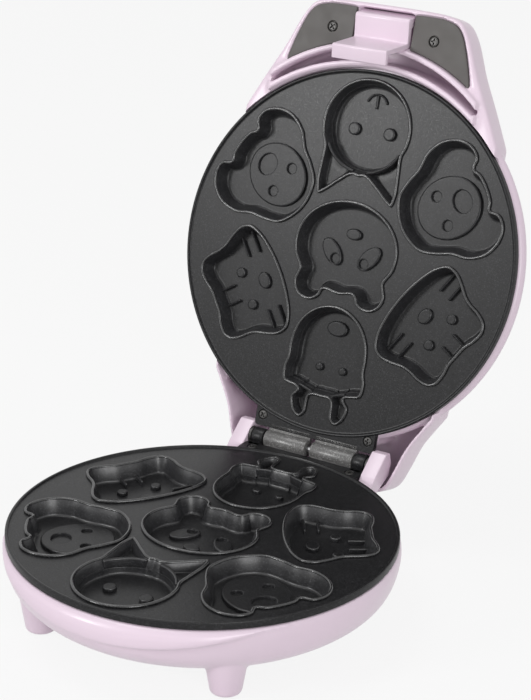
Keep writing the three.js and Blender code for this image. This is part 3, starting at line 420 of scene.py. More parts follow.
rubber = grained("foot_rubber", (0.03, 0.03, 0.031), 0.75, 700, DULL)
ceramic = grained("white_ceramic", (0.76, 0.74, 0.68), 0.55, 400, DULL)
red_lens = grained("red_lens", (0.55, 0.02, 0.015), 0.14, 300, DULL, Coat_Weight=0.5)
green_lens = grained("green_lens", (0.02, 0.4, 0.08), 0.14, 300, DULL, Coat_Weight=0.5)


def in_scene(name, data):
    item = bpy.data.objects.new(name, data)
    bpy.context.scene.collection.objects.link(item)
    return item


def plain_mesh(item):
    """The mesh that an object's modifiers make; the object itself goes."""
    bpy.context.view_layer.update()
    made = bpy.data.meshes.new_from_object(item.evaluated_get(bpy.context.evaluated_depsgraph_get()))
    bpy.data.objects.remove(item)
    return made


def put_on(mesh, name, body, material, replaced=(), crease=35):
    """Shows a finished mesh, already in metres, as a piece of the cookie maker."""
    mesh.name = name
    if material:
        mesh.materials.clear()
        mesh.materials.append(material)
    mesh.polygons.foreach_set("use_smooth", [True] * len(mesh.polygons))
    mesh.set_sharp_from_angle(angle=radians(crease))
    piece = in_scene(name, mesh)
    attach(piece, body)
    if replaced:
        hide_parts(*replaced)


def worked(mesh, modifiers):
    """The mesh that a list of (kind, settings) makes of this one, as plain mesh."""
    item = in_scene("work", mesh)
    for kind, settings in modifiers:
        modifier = item.modifiers.new(kind.lower(), kind)
        for key, value in settings.items():
            setattr(modifier, key, value)
    return plain_mesh(item)


def combined(mesh, others, operation):
    """Cuts other meshes out of a mesh, or adds them to it, one after another."""
    tools = [in_scene("tool", other) for other in others]
    made = worked(mesh, [
        ("BOOLEAN", {"operation": operation, "solver": "EXACT", "object": tool}) for tool in tools
    ])
    for tool in tools:
        bpy.data.objects.remove(tool)
    return made


def solid(form):
    """A form's mesh with its doubles merged and all its faces turned outwards."""
    mesh = form.mesh("solid")
    work = bmesh.new()
    work.from_mesh(mesh)
    bmesh.ops.remove_doubles(work, verts=work.verts, dist=1e-4)
    bmesh.ops.recalc_face_normals(work, faces=work.faces)
    work.to_mesh(mesh)
    work.free()
    return mesh


def cut_away(mesh, cutters):
    return combined(mesh, [solid(cutter) for cutter in cutters], "DIFFERENCE")


def soft_skin(meshes, voxel, rounds):
    """One skin round several meshes, with its creases softened."""
    work = bmesh.new()
    for mesh in meshes:
        work.from_mesh(mesh)
    joined = bpy.data.meshes.new("joined")
    work.to_mesh(joined)
    work.free()
    return worked(joined, [
        ("REMESH", {"mode": "VOXEL", "voxel_size": voxel, "use_smooth_shade": True}),
        ("SMOOTH", {"factor": 0.5, "iterations": rounds}),
    ])


# Faces of the moulds, in shares of each face's size as right-hand halves

CAT = 28
DEER, DEER_CHIN = 25, 27
PANDA, PANDA_HEIGHT, PANDA_EAR = 33, 27.5, 10
TIGER = 26
PUPPY = 33
cat_ears = [(0.89, 0.46), (0.9, 0.82), (0.91, 1.24), (0.84, 1.47), (0.7, 1.4), (0.42, 1.17), (0.15, 0.985)]
antlers = [
    (1, 0.3), (1.06, 0.56), (1, 0.86), (0.62, 0.98), (0.75, 1.18), (0.64, 1.52), (0.46, 1.62),
    (0.32, 1.5), (0.26, 1.09),
]
tiger_half = [
    (0, -1), (0.58, -0.95), (1, -0.83), (1.25, -0.65), (1.3, -0.42), (1.22, -0.16), (1.08, 0.12),
    (1.04, 0.3), (1.03, 0.55), (0.95, 0.8), (0.78, 0.92), (0.5, 0.92), (0.26, 0.86), (0, 0.855),
]
puppy_half = [
    (0, -1), (0.27, -0.955), (0.515, -0.83), (0.68, -0.575), (0.79, -0.32), (0.98, -0.06), (1.045, 0.26),
    (0.955, 0.54), (0.79, 0.71), (0.62, 0.765), (0.49, 0.74), (0.37, 0.625), (0.25, 0.69), (0, 0.72),
]


def oval(middle, across, along, turn=0, steps=30):
    c, s = cos(radians(turn)), sin(radians(turn))
    ring = arc(across, along, 0, 360, steps)[:-1]
    return [(middle[0] + a * c - b * s, middle[1] + a * s + b * c) for a, b in ring]


def spot(size, u, v, across, along, s=1, turn=0, steps=30):
    """An oval in shares of a face's size, on the right or, with s of -1, on the left."""
    return oval((s * size * u, size * v), size * across, size * along, s * turn, steps)


def two_spots(size, u, v, radius):
    return [spot(size, u, v, radius, radius, s) for s in (1, -1)]


faces = {
    "cat": {
        "half": arc(CAT, CAT, -90, 15, 6) + scaled(cat_ears, CAT) + [(0, CAT)],
        "ears": (7, 13, True),
        "buttons": two_spots(CAT, 0.4, 0.06, 0.132),
        "ribs": [
            arc(CAT * 0.23, CAT * 0.23, 200, 340, 14, (0, -CAT * 0.46)),
            [(0, -CAT * 0.66), (0, -CAT * 0.42)],
        ],
    },
    "deer": {
        "half": arc(DEER, DEER_CHIN, -90, 0, 5) + scaled(antlers, DEER) + [(0, DEER * 1.06)],
        "ears": (9, 14, False),
        "buttons": [*two_spots(DEER, 0.3, 0.416, 0.092), spot(DEER, 0, -0.528, 0.26, 0.18)],
    },
    "panda": {
        "half": [
            *arc(PANDA, PANDA_HEIGHT, -90, 34, 7),
            *arc(PANDA_EAR, PANDA_EAR, -30, 165, 7, (0.585 * PANDA, 0.7 * PANDA)),
            (0, PANDA_HEIGHT * 0.97),
        ],
        "buttons": [spot(PANDA, 0, -0.248, 0.145, 0.1)],
        "patches": [
            (spot(PANDA, 0.364, 0.115, 0.152, 0.267, s, 40), [spot(PANDA, 0.279, 0.221, 0.085, 0.085, s)])
            for s in (1, -1)
        ],
    },
    "tiger": {
        "half": scaled(tiger_half, TIGER),
        "rib_rise": 2.6,
        "buttons": [*two_spots(TIGER, 0.388, 0.12, 0.115), spot(TIGER, 0, -0.375, 0.192, 0.146)],
        "ribs": [
            [(s * TIGER * u0, TIGER * v0), (s * TIGER * u1, TIGER * v1)]
            for s in (1, -1)
            for u0, v0, u1, v1 in (
                (0.185, 0.385, 0.185, 0.79), (0.66, -0.5, 1.13, -0.5), (0.66, -0.21, 1.13, -0.21),
            )
        ],
    },
    "puppy": {
        "half": scaled(puppy_half, PUPPY),
        "patches": [(
            spot(PUPPY, 0, -0.136, 0.53, 0.6, steps=60),
            [*two_spots(PUPPY, 0.267, -0.273, 0.09), spot(PUPPY, 0, 0.133, 0.2, 0.17)],
        )],
    },
}
moulds = [
    ("cat", -72, 90, 90), ("deer", 57, 90, 90), ("panda", -3, 90, 90),
    *[("tiger", 68, 90 - s * 62.9, 90 - s * 57) for s in (1, -1)],
    *[("puppy", 70.7, 90 - s * 123.3, 90 - s * 123.3) for s in (1, -1)],
]


def placed(points, away, bearing, turn):
    """Face points on the plate; a face's v axis leads away from the plate's middle."""
    c, s = cos(radians(turn)), sin(radians(turn))
    x, y = away * cos(radians(bearing)), away * sin(radians(bearing))
    return [(x + v * c + u * s, y + v * s - u * c) for u, v in points]


# Baking plate

TOP = -0.5
FIELD, FIELD_RADIUS = -1.1, 101.7
DEPTH, FILLET = 9.0, 1.5
SHALLOW, SMALL_FILLET = 5.0, 0.5
LIP, LEAN = 1.7, 2.6
BEAD_RADIUS = 0.92
STEPS = 8
BROW = [(1.2, TOP + 0.3), (1.5, TOP - 0.05)]
FLANGE_REACH, FLANGE_HALF = 103.9, 38.5
BASE_FLANGE_SCREW, LID_FLANGE_SCREW = (32, 103), (34.5, 101.5)
rim_profile = [
    (101, -3.4), (101.4, -3.6), (101.4, -4), (104.1, -4), (104.4, -3.7), (104.4, -0.5), (104.25, -0.15),
    (103.85, 0.05), (103.3, 0.05), (102.95, -0.12), (102.7, -0.6), (102.45, -0.95), (102.1, FIELD),
    (FIELD_RADIUS, FIELD),
]


def on_side(at, s, *height):
    """A place given for the right, on the right or, with s of -1, on the left."""
    return (s * at[0], at[1], *height)


def lean_at(depth):
    return LIP + LEAN * (depth / DEPTH) ** 0.75


def wall_profile(depth, fillet, start=0.1, steps=4):
    """A leaning mould wall from the bead's inner foot to the floor, with a rounded corner."""
    foot = depth - fillet
    depths = [start + (foot - start) * k / steps for k in range(steps + 1)]
    line = [(lean_at(d), TOP - d) for d in depths]
    out = lean_at(foot)
    for k in range(1, steps + 1):
        a = radians(90 * k / steps)
        line.append((out + fillet * (1 - cos(a)), TOP - foot - fillet * sin(a)))
    line.append((out + fillet + 0.35, TOP - depth))
    return line


def raised(form, outline, floor, rise, holes=()):
    """A button or patch with a rounded rim on a mould's floor."""
    form.add(tablet(outline, floor - 0.6, floor + rise, min(0.8, rise * 0.45), holes))


def ridge_line(points, width, steps=5):
    """The outline of a rib of even width with round ends along a line."""
    line = [Vector(p) for p in points]
    left, right = [], []
    for i, p in enumerate(line):
        along = (line[min(i + 1, len(line) - 1)] - line[max(i - 1, 0)]).normalized()
        side = Vector((-along.y, along.x)) * width / 2
        left.append(p + side)
        right.append(p - side)
    turns = [Matrix.Rotation(radians(-180 * k / steps), 2) for k in range(1, steps)]
    end = [line[-1] + turn @ (left[-1] - line[-1]) for turn in turns]
    first = [line[0] + turn @ (right[0] - line[0]) for turn in turns]
    return [tuple(p) for p in reversed(left + end + right[::-1] + first)]


def eared_mould(form, edge, whole, spans, rounded_head, place):
    """A mould with ears shallower than its head, and a ridge along the border between them."""
    ear = np.zeros(len(whole))
    head = list(whole)
    for start, end in spans:
        p, q = Vector(whole[start]), Vector(whole[end])
        sweep = atan2(p.x, p.y), atan2(q.x, q.y)
        for k in range(start, end + 1):
            t = (k - start) / (end - start)
            if rounded_head:
                turn = sweep[0] + (sweep[1] - sweep[0]) * t
                size = p.length + (q.length - p.length) * t
                head[k] = (size * sin(turn), size * cos(turn))
            else:
                head[k] = tuple(p.lerp(q, t))
            ear[k] = min(1, min(k - start, end - k) / 5)
    shallow = [*BROW, *wall_profile(SHALLOW, SMALL_FILLET)]
    share = SHALLOW / (len(shallow) - 3)
    plain = [*BROW, *[(lean_at(share * k), TOP - share * k) for k in range(len(shallow) - 2)]]
    rings = [
        form.ring([tuple(a * w + b * (1 - w) for a, b in zip(p, q)) for p, q, w in zip(one, two, ear)])
        for one, two in zip(edge.levels(shallow), edge.levels(plain))
    ]
    form.wall(rings)
    out = lean_at(SHALLOW) + 0.06
    brink = TOP - SHALLOW
    deeper = [(out, brink), (out + 0.18, brink - 0.1), (out + 0.28, brink - 0.4)]
    deeper += [(max(d, out + 0.3), z) for d, z in wall_profile(DEPTH, FILLET) if z < brink - 0.6]
    deep = Edge(placed(head, *place))
    inner = [form.ring(r) for r in deep.levels(deeper)]
    form.wall(inner)
    form.sheet(inner[-1])
    form.sheet(rings[-1], [inner[0]])
    border = deep.at(out - 0.9)
    for start, end in spans:
        raised(form, ridge_line(border[start + 2:end - 1], 1.8), brink, SHALLOW - 0.1)


def mould(form, face, place):
    """Adds one mould and returns the ring where the plate's field ends and the bead's path."""
    controls = both_halves(face["half"])
    count = len(controls)
    whole = flowing(controls, per=STEPS)
    edge = Edge(placed(whole, *place))
    if "ears" in face:
        first, last, rounded_head = face["ears"]
        spans = [(a * STEPS, b * STEPS) for a, b in ((first, last), (count - last, count - first))]
        eared_mould(form, edge, whole, spans, rounded_head, place)
    else:
        rings = [form.ring(r) for r in edge.levels([*BROW, *wall_profile(DEPTH, FILLET)])]
        form.wall(rings)
        form.sheet(rings[-1])
    floor = TOP - DEPTH
    for outline in face.get("buttons", []):
        raised(form, placed(outline, *place), floor, 2.2)
    for outline, holes in face.get("patches", []):
        raised(form, placed(outline, *place), floor, 2.0, [(placed(h, *place), floor + 0.5) for h in holes])
    for line in face.get("ribs", []):
        raised(form, ridge_line(placed(line, *place), 1.3), floor, face.get("rib_rise", 1.5))
    return form.ring(edge.at(0.9), FIELD), [tuple(p) for p in edge.at(BEAD_RADIUS)]


def plate_form():
    """The face of a plate with its rim, field and moulds, and the paths of its beads."""
    form = Form()
    holes, beads = zip(*[mould(form, faces[name], place) for name, *place in moulds])
    form.add(Form().turned(rim_profile, 180, shut=False))
    form.sheet(form.ring(circle(FIELD_RADIUS, 180), FIELD), holes)
    return form, beads


def flange(at):
    """The tab behind a plate with its two countersunk screw holes."""
    reach = degrees(asin(FLANGE_HALF / FLANGE_REACH))
    line = arc(FLANGE_REACH, FLANGE_REACH, 90 - reach, 90 + reach, 24)
    back = [line[-1], (-FLANGE_HALF, 107.5), (FLANGE_HALF, 107.5), line[0]]
    holes = [(oval(on_side(at, s), 2.9, 2.9, steps=32), TOP - 1.8) for s in (1, -1)]
    return tablet([*line[1:-1], *rounded(back, [0, 2, 2, 0])], -4, TOP, 0.35, holes)


def knuckle(start, end, low, high):
    """A barrel round the hinge pin with its web to the flange."""
    web = rounded([(105.5, low), (HINGE_BACK, low), (HINGE_BACK, high), (105.5, high)], 0.3)
    return rod(start, end, HINGE_AXIS, 5.15, 0.7).add(beam(web, start + 0.2, end - 0.2, 0.3))


# Node trees

def new_tree(name, sockets):
    tree = bpy.data.node_groups.new(name, "GeometryNodeTree")
    tree.interface.new_socket("Geometry", in_out="INPUT", socket_type="NodeSocketGeometry")
    for label, kind, value in sockets:
        socket = tree.interface.new_socket(label, in_out="INPUT", socket_type="NodeSocket" + kind)
        if value is not None:
            socket.default_value = value
    tree.interface.new_socket("Geometry", in_out="OUTPUT", socket_type="NodeSocketGeometry")
    return tree, tree.nodes.new("NodeGroupInput")


def close_tree(tree, given, last, output):
    """Ends a tree in Realize Instances and Set Material."""
    real = tree.nodes.new("GeometryNodeRealizeInstances")
    paint = tree.nodes.new("GeometryNodeSetMaterial")
    wire(tree, [
        (last, output, real, "Geometry"),
        (real, "Geometry", paint, "Geometry"),
        (given, "Finish", paint, "Material"),
        (paint, "Geometry", tree.nodes.new("NodeGroupOutput"), "Geometry"),
    ])
    return tree


def bead_tree():
    """Sweeps a round bead along each line of edges."""
    tree, given = new_tree("bead_along_lines", [
        ("Bead radius", "Float", BEAD_RADIUS), ("Bead sides", "Int", 14), ("Finish", "Material", None),
    ])
    path = tree.nodes.new("GeometryNodeMeshToCurve")
    section = tree.nodes.new("GeometryNodeCurvePrimitiveCircle")
    sweep = add_node(tree, "GeometryNodeCurveToMesh", {"Fill Caps": True})
    wire(tree, [
        (given, "Geometry", path, "Mesh"),
        (given, "Bead radius", section, "Radius"),
        (given, "Bead sides", section, "Resolution"),
        (path, "Curve", sweep, "Curve"),
        (section, "Curve", sweep, "Profile Curve"),
    ])
    return close_tree(tree, given, sweep, "Mesh")


def fitting_tree():
    """Sets a fitting and its shank on each point, each turned a little further than the last."""
    tree, given = new_tree("fittings_on_points", [
        ("Fitting", "Object", None), ("Shank radius", "Float", 1.5), ("Shank length", "Float", 8.0),
        ("Shank top", "Float", -1.6), ("Facing", "Rotation", None), ("Turn step", "Float", 0.7),
        ("Finish", "Material", None),
    ])
    nodes = tree.nodes
    info = nodes.new("GeometryNodeObjectInfo")
    shank = add_node(tree, "GeometryNodeMeshCylinder", {"Vertices": 20})
    middle = add_node(tree, "ShaderNodeMath", {1: -0.5}, operation="MULTIPLY_ADD")
    offset = nodes.new("ShaderNodeCombineXYZ")
    lower = nodes.new("GeometryNodeTransform")
    both = nodes.new("GeometryNodeJoinGeometry")
    index = nodes.new("GeometryNodeInputIndex")
    step = add_node(tree, "ShaderNodeMath", operation="MULTIPLY")
    spin = nodes.new("ShaderNodeCombineXYZ")
    spun = nodes.new("FunctionNodeEulerToRotation")
    turn = add_node(tree, "FunctionNodeRotateRotation", rotation_space="LOCAL")
    place = nodes.new("GeometryNodeInstanceOnPoints")
    wire(tree, [
        (given, "Fitting", info, "Object"), (given, "Shank radius", shank, "Radius"),
        (given, "Shank length", shank, "Depth"), (given, "Shank length", middle, 0),
        (given, "Shank top", middle, 2), (middle, 0, offset, "Z"),
        (shank, "Mesh", lower, "Geometry"), (offset, "Vector", lower, "Translation"),
        (lower, "Geometry", both, "Geometry"), (info, "Geometry", both, "Geometry"),
        (index, "Index", step, 0), (given, "Turn step", step, 1),
        (step, 0, spin, "Z"), (spin, "Vector", spun, "Euler"),
        (given, "Facing", turn, "Rotation"), (spun, "Rotation", turn, "Rotate By"),
        (given, "Geometry", place, "Points"), (both, "Geometry", place, "Instance"),
        (turn, "Rotation", place, "Rotation"),
    ])
    return close_tree(tree, given, place, "Instances")


def through_tree(tree, points, edges, place, **values):
    """Runs a tree on points and edges in millimetres and gives a plain mesh in metres."""
    start = bpy.data.meshes.new("start")
    start.from_pydata(points, edges, [])
    item = in_scene("start", start)
    modifier = item.modifiers.new("tree", "NODES")
    modifier.node_group = tree
    names = {s.name: s.identifier for s in tree.interface.items_tree if s.in_out == "INPUT"}
    for label, value in values.items():
        modifier[names[label.replace("_", " ")]] = value
    made = plain_mesh(item)
    made.transform(place)
    return made


def plate_mesh(form, place):
    """A plate's mesh; the steep sides of the moulds get a lighter, shinier copy of the coating, a painted
    sheen.
    """
    mesh = form.mesh("plate")
    for material in (coating, painted_sheen_wall_coating):
        mesh.materials.append(material)
    for face in mesh.polygons:
        steep = abs(face.normal.z) < 0.8 and face.center.z < TOP and face.center.xy.length < 100
        # Steep mould walls take the lighter copy of the coating as painted sheen.
        face.material_index = int(steep)
    mesh.transform(place)
    return mesh


beads_on = bead_tree()
fittings_on = fitting_tree()

# Plates with their beads

plate_face, bead_lines = plate_form()
bead_points, bead_edges = [], []
for line in bead_lines:
    start, count = len(bead_points), len(line)
    bead_points += [(x, y, TOP) for x, y in line]
    bead_edges += [(start + k, start + (k + 1) % count) for k in range(count)]

lower_plate = Form().add(plate_face).add(flange(BASE_FLANGE_SCREW))
upper_plate = Form().add(plate_face).add(flange(LID_FLANGE_SCREW))
barrels = Form()
for s in (1, -1):
    lower_plate.add(knuckle(*sorted((s * 29.6, s * 37)), -4, TOP))
    barrels.add(knuckle(*sorted((s * 1.6, s * 29)), PLATE_GAP + 0.5, PLATE_GAP + 4))
put_on(plate_mesh(lower_plate, ON_BASE), "base_baking_plate", "base", None, ["base_plate"])
put_on(plate_mesh(upper_plate, TURNED_OVER), "lid_baking_plate", "lid", None, ["lid_plate"])
put_on(barrels.mesh("barrels", ON_LID), "lid_hinge_barrels", "lid", barrel_coating)
for place, body in ((ON_BASE, "base"), (TURNED_OVER, "lid")):
    swept = through_tree(beads_on, bead_points, bead_edges, place, Finish=bead_coating_with_painted_highlight)
    put_on(swept, f"{body}_mould_beads", body, bead_coating_with_painted_highlight)

# Lower housing

WALL = 2.5
BOWL_RADIUS, BOWL_BOTTOM, BOWL_FLAT = 105.5, -38.4, 20
APRON_RADIUS, APRON_ROOT, APRON_TOP, APRON_SHIFT, APRON_HALF_TURN = 105.3, 101.5, -4.4, 3.5, 58
RING_TOP, RING_BOTTOM = 0.22, 0.965
bowl_shares = [
    (0.3, -0.995), (0.55, -0.985), (0.73, -0.96), (0.82, -0.9), (0.893, -0.803), (0.954, -0.655),
    (0.984, -0.486), (1, -0.231), (0.992, -0.112),
]
bowl_curve = flowing([(r * BOWL_RADIUS, -z * BOWL_BOTTOM) for r, z in bowl_shares], False, 6)
ring_profile = [
    (0.962, -0.975), (0.978, -0.97), (0.99, -0.945), (0.998, -0.88), (1, -0.78), (0.997, -0.58),
    (0.987, -0.38), (0.972, -0.26), (0.955, -0.22),
]
ear_corners = [
    (103.2, -0.6), (99, -4.8), (92, -4.8), (92, -21), (99.6, -21), (105.6, -11), (120.6, -5), (122.8, 2),
    (121, 8.6), (116, 9.2),
]


def apron_form(steps=72):
    """The proud band round the front, deepest in the middle and fading out at the sides."""
    form = Form()
    rings = []
    for k in range(steps + 1):
        angle = radians(-90 - APRON_HALF_TURN + 2 * APRON_HALF_TURN * k / steps)
        front = -APRON_RADIUS * sin(angle) + APRON_SHIFT
        depth = min(17.2, max(6, (front - 66) * 0.3 + 4.3))
        reach = min(1, max(0, (depth + APRON_TOP) / 9)) ** 0.6
        section = []
        for r, z in ring_profile:
            share = (z + RING_TOP) / (RING_BOTTOM - RING_TOP)
            radius = APRON_ROOT + (r * APRON_RADIUS - APRON_ROOT) * (0.35 + 0.65 * reach)
            section.append((radius, APRON_TOP + share * (depth + APRON_TOP)))
        section = [(99, section[0][1]), *section, (99, APRON_TOP)]
        rings.append(form.ring([(r * cos(angle), r * sin(angle) - APRON_SHIFT, z) for r, z in section]))
    form.wall(rings)
    form.faces += [tuple(reversed(rings[0])), tuple(rings[-1])]
    return form


def foot_form(x, y, top):
    profile = [(6.9, -47.4), (7.7, -47.1), (8.3, -46.4), (11.6, -top), (11.6, -top + 1)]
    return Form().turned(profile, 40, (x, y))


def hinge_ear(s):
    """A lug round the hinge pin, rooted on the bowl, with a shallow round hollow in its inner side."""
    outline = rounded(ear_corners, [1, 0, 0, 0, 0, 0, 3, 2, 1.5, 1])
    lug = beam(outline, *sorted((s * 38.8, s * 48)), 0.6)
    return cut_away(solid(lug), [rod(*sorted((s * 37.8, s * 41.3)), HINGE_AXIS, 5.3, 0.1)])


feet = [on_side((x, y), s, top) for x, y, top in ((57, -67.3, 26), (43.4, 91.5, 17.5)) for s in (1, -1)]
bowl = Form().turned([(0.5, BOWL_BOTTOM), (BOWL_FLAT, BOWL_BOTTOM), *bowl_curve], 128)
shelf = tablet(rounded([(-42, 92), (42, 92), (42, 106.3), (-42, 106.3)], 1.5), -12, -4.3, 0.5)
base_parts = [bowl, apron_form(), *[foot_form(*foot) for foot in feet], shelf]
skin = soft_skin([solid(part) for part in base_parts], 0.9, 3)
inside = [(r * (BOWL_RADIUS - WALL) / BOWL_RADIUS, z + WALL) for r, z in bowl_curve if z < -6]
room_floor = BOWL_BOTTOM + WALL
room = Form().turned([(0.5, room_floor), (BOWL_FLAT, room_floor), *inside, (102, -3), (0.5, -3)], 96)
bowl_screws = [(x, y) for x in (52, -52) for y in (52, -52)]
wells = Form()
for at in bowl_screws:
    wells.add(post(3.6, -60, -33.5, 20, at))
for x, y, _ in feet:
    wells.add(post(6.3, -60, -45.7, 24, (x, y)))
outlet = post(4, 60, 112, 28)
outlet.points = [(x, z, y - 25) for x, y, z in outlet.points]
skin = cut_away(combined(skin, [hinge_ear(1), hinge_ear(-1)], "UNION"), [room, wells, outlet])
skin.transform(ON_BASE)
put_on(skin, "base_housing", "base", lilac, ["base_shell"], 40)

# Upper housing

DOME_RADIUS, DOME_HEIGHT = 107, 44.5
TROUGH_FAR, TROUGH_NEAR, TROUGH_SHIFT, TROUGH_HALF_TURN = 98.8, 109, -17.3, 36.5
COVER_SCREW = (32, -125)
dome_shares = [
    (0.98, 0.097), (1, 0.16), (0.99, 0.26), (0.962, 0.39), (0.922, 0.53), (0.86, 0.68), (0.77, 0.82),
    (0.66, 0.91), (0.5, 0.97), (0.28, 0.995), (0.005, 1),
]
dome_curve = flowing([(r * DOME_RADIUS, z * DOME_HEIGHT) for r, z in dome_shares], False, 5)
handle_front = [(34 * k / 5, -141.2 + 0.6 * (k / 5) ** 3) for k in range(5)]
handle_side = [(34, -140.6), (45.5, -138), (52, -130), (60.5, -111), (70, -93), (80, -73)]
handle_line = both_halves([*handle_front, *flowing(handle_side, False, 5), (80, -60), (0, -60)])
hood_side = [(72, 81), (67.5, 88), (60, 101), (55, 115), (50, 126), (44, 129.2)]
hood_back = [(44 * k / 5, 129.6 - 0.4 * (k / 5) ** 3) for k in (4, 3, 2, 1, 0)]
hood_line = both_halves([(0, 60), (72, 60), *flowing(hood_side, False, 5), *hood_back])
fall_shares = [(0.06, 0), (0.45, 0), (0.6, 0.04), (0.75, 0.18), (0.86, 0.38), (0.94, 0.64), (1, 1)]


def grown(outline, distance):
    """Each side of an outline moved outward by the same distance, or inward if negative."""
    line = np.array(outline, dtype=float)
    before, after = line - np.roll(line, 1, 0), np.roll(line, -1, 0) - line
    before /= np.linalg.norm(before, axis=1)[:, None]
    after /= np.linalg.norm(after, axis=1)[:, None]
    normal = np.stack([before[:, 1] + after[:, 1], -before[:, 0] - after[:, 0]], 1)
    return line + 2 * distance * normal / (normal ** 2).sum(1)[:, None]


def column(levels):
    form = Form()
    form.closed([form.ring(outline, z) for outline, z in levels])
    return form


def hump(outline, bottom, height, fall, edge):
    """An upright wall that rounds over to a smaller top."""
    levels = [(grown(outline, -fall * f), PLATE_GAP + height * h) for h, f in fall_shares]
    return column([(grown(outline, -edge), bottom), *levels])


def crescent(margin, beyond=0, steps=48):
    """The trough's outline, reaching further under the covers by a distance beyond its lip."""
    reach = TROUGH_HALF_TURN + degrees(margin / TROUGH_NEAR)
    far, near = TROUGH_FAR + margin + beyond, TROUGH_NEAR - margin
    ends = degrees(asin(near * sin(radians(reach)) / far))
    outer = arc(far, far, -90 - ends, -90 + ends, steps, (0, TROUGH_SHIFT))
    return outer + arc(near, near, -90 + reach, -90 - reach, steps)


def cover_outline(margin):
    """The right-hand half of the handle's underside between the trough and the rim."""
    inner, start, end = TROUGH_FAR + 3.3 + 0.3, 18.25, 35
    line = [(x, TROUGH_SHIFT - sqrt(inner ** 2 - x ** 2)) for x in np.linspace(57.8, start, 16)]
    front = [(start, -137.8), *[(start + (end - start) * k / 4, -138.1) for k in (1, 2, 3)]]
    outer = flowing([(end, -138), (43.5, -135.6), (48, -131), (53.5, -118), (57.8, -103.4)], False, 6)
    return [tuple(p) for p in grown([*line, *front, *outer[:-1]], margin)]


def mirrored(outline):
    return [(-x, y) for x, y in reversed(outline)]


dome = Form().turned([(r, z + PLATE_GAP) for r, z in dome_curve], 128)
handle = hump(handle_line, PLATE_GAP, 26, 9, 1.2)
hood = hump(hood_line, PLATE_GAP + 0.5, 32, 9, 0.8)
pocket = column([(grown(hood_line, -d), z) for d, z in ((2.2, -1), (2.2, 15), (4.2, 25), (7, 30.5))])
ridge = column([(crescent(d), z) for d, z in ((2.3, -3), (3.0, -2.7), (3.3, -2), (3.3, 2))])
trough = column([
    (crescent(d, beyond), z) for d, beyond, z in ((0, 0, -4), (0, 0, 5), (-0.4, 5, 8), (-1, 5, 21))
])
bay = tablet(rounded([(-17.7, -138.4), (17.7, -138.4), (17.7, -118), (-17.7, -118)], 0.4), -4, 16, 0.1)
cover_levels = ((0.35, -4), (0.35, 3.8), (-3, 3.9), (-4, 18))
cover_rooms = [
    column([(shape(cover_outline(d)), z) for d, z in cover_levels]) for shape in (list, mirrored)
]
lid_parts = [
    cut_away(solid(dome), [trough]),
    cut_away(solid(hood), [pocket]),
    cut_away(solid(handle), [trough, bay, *cover_rooms]),
    cut_away(solid(ridge), [trough, bay]),
]
for s in (1, -1):
    lid_parts.append(solid(post(3.2, 5.3, 31.5, 24, on_side(LID_FLANGE_SCREW, s))))
    lid_parts.append(solid(post(4.6, 3.9, 19, 24, on_side(COVER_SCREW, s))))
skin = soft_skin(lid_parts, 1.2, 6)
inside = [
    (r * (DOME_RADIUS - WALL) / DOME_RADIUS, z + PLATE_GAP - WALL) for r, z in dome_curve if z > 10
]
room = Form().turned([(0.5, -3), (105.3, -3), (105.3, 5.3), (103.5, 5.3), *inside], 128)
skin = cut_away(skin, [room])
skin.transform(ON_LID)
put_on(skin, "lid_housing", "lid", lilac, ["lid_shell"], 40)

# Handle covers and clip

UPSIDE_DOWN = ON_LID @ Matrix.Rotation(pi, 4, "X")
for side, s, shape in (("right", 1, list), ("left", -1, mirrored)):
    outline = [(x, -y) for x, y in reversed(shape(cover_outline(-0.15)))]
    recess = (oval((s * COVER_SCREW[0], -COVER_SCREW[1]), 3.25, 3.25, steps=36), -2.8)
    cover = tablet(outline, -3.5, -PLATE_GAP, 0.5, [recess]).mesh("cover", UPSIDE_DOWN)
    put_on(cover, f"{side}_handle_cover", "lid", cover_plastic, [f"handle_cover_{side}"])

clip_line = rounded([
    (-115, -28.5), (-115, -25.5), (-120.2, -25.5), (-120.2, 1.2), (-131.4, 1.2), (-131.4, 7.6), (-133.6, 8.8),
    (-136.4, 8.6), (-137.6, 6.5), (-137, 3), (-137, -3), (-123.2, -3), (-123.2, -28.5),
], [0.6, 0.7, 0.8, 0.8, 1, 1, 1, 1, 1, 0.5, 2, 1.2, 1.2])
clip = solid(beam(clip_line, -17, 17, 0.6))
pivot = Matrix.Translation((0, *CLIP_AXIS))
clip.transform(ON_LID @ pivot @ Matrix.Rotation(CLIP_LEAN, 4, "X") @ pivot.inverted())
put_on(clip, "clip", "latch_body", lilac, ["latch"], 40)

# Screws, pads, rods, lamps and heating tubes

ARM, HALF_ARM = 1.75, 0.48
quarter = [(HALF_ARM, HALF_ARM), (HALF_ARM, ARM), (-HALF_ARM, ARM)]
cross = [(x * c - y * s, x * s + y * c) for c, s in ((1, 0), (0, 1), (-1, 0), (0, -1)) for x, y in quarter]
head = Form()
rings = [head.ring(oval((0, 0), r, r, steps=36), z) for r, z in (
    (1.4, -1.5), (2.45, -1.5), (2.6, -1.35), (2.6, -0.45), (2.45, -0.2), (2.1, -0.03), (1.95, 0),
)]
head.sheet(rings[0], down=True)
head.wall(rings)
recess = [head.ring(rounded(cross, 0.12, 2), 0), head.ring(rounded(scaled(cross, 0.85), 0.1, 2), -1.3)]
head.wall(recess)
head.sheet(recess[1])
head.sheet(rings[-1], [recess[0]])
screw_head = bpy.data.objects.new("screw_head", head.mesh("screw_head"))
pad_form = Form().turned([(5.4, -2), (5.8, -1.9), (6, -1.6), (6, -0.4), (5.8, -0.1), (5.4, 0)], 32)
pad = bpy.data.objects.new("pad", pad_form.mesh("pad"))
UP, DOWN = (0.0, 0.0, 0.0), (pi, 0.0, 0.0)


def sides(at, z):
    return [on_side(at, s, z) for s in (1, -1)]


def named(start, ends=(1, 2, 3, 4)):
    return [f"{start}_{end}" for end in ends]


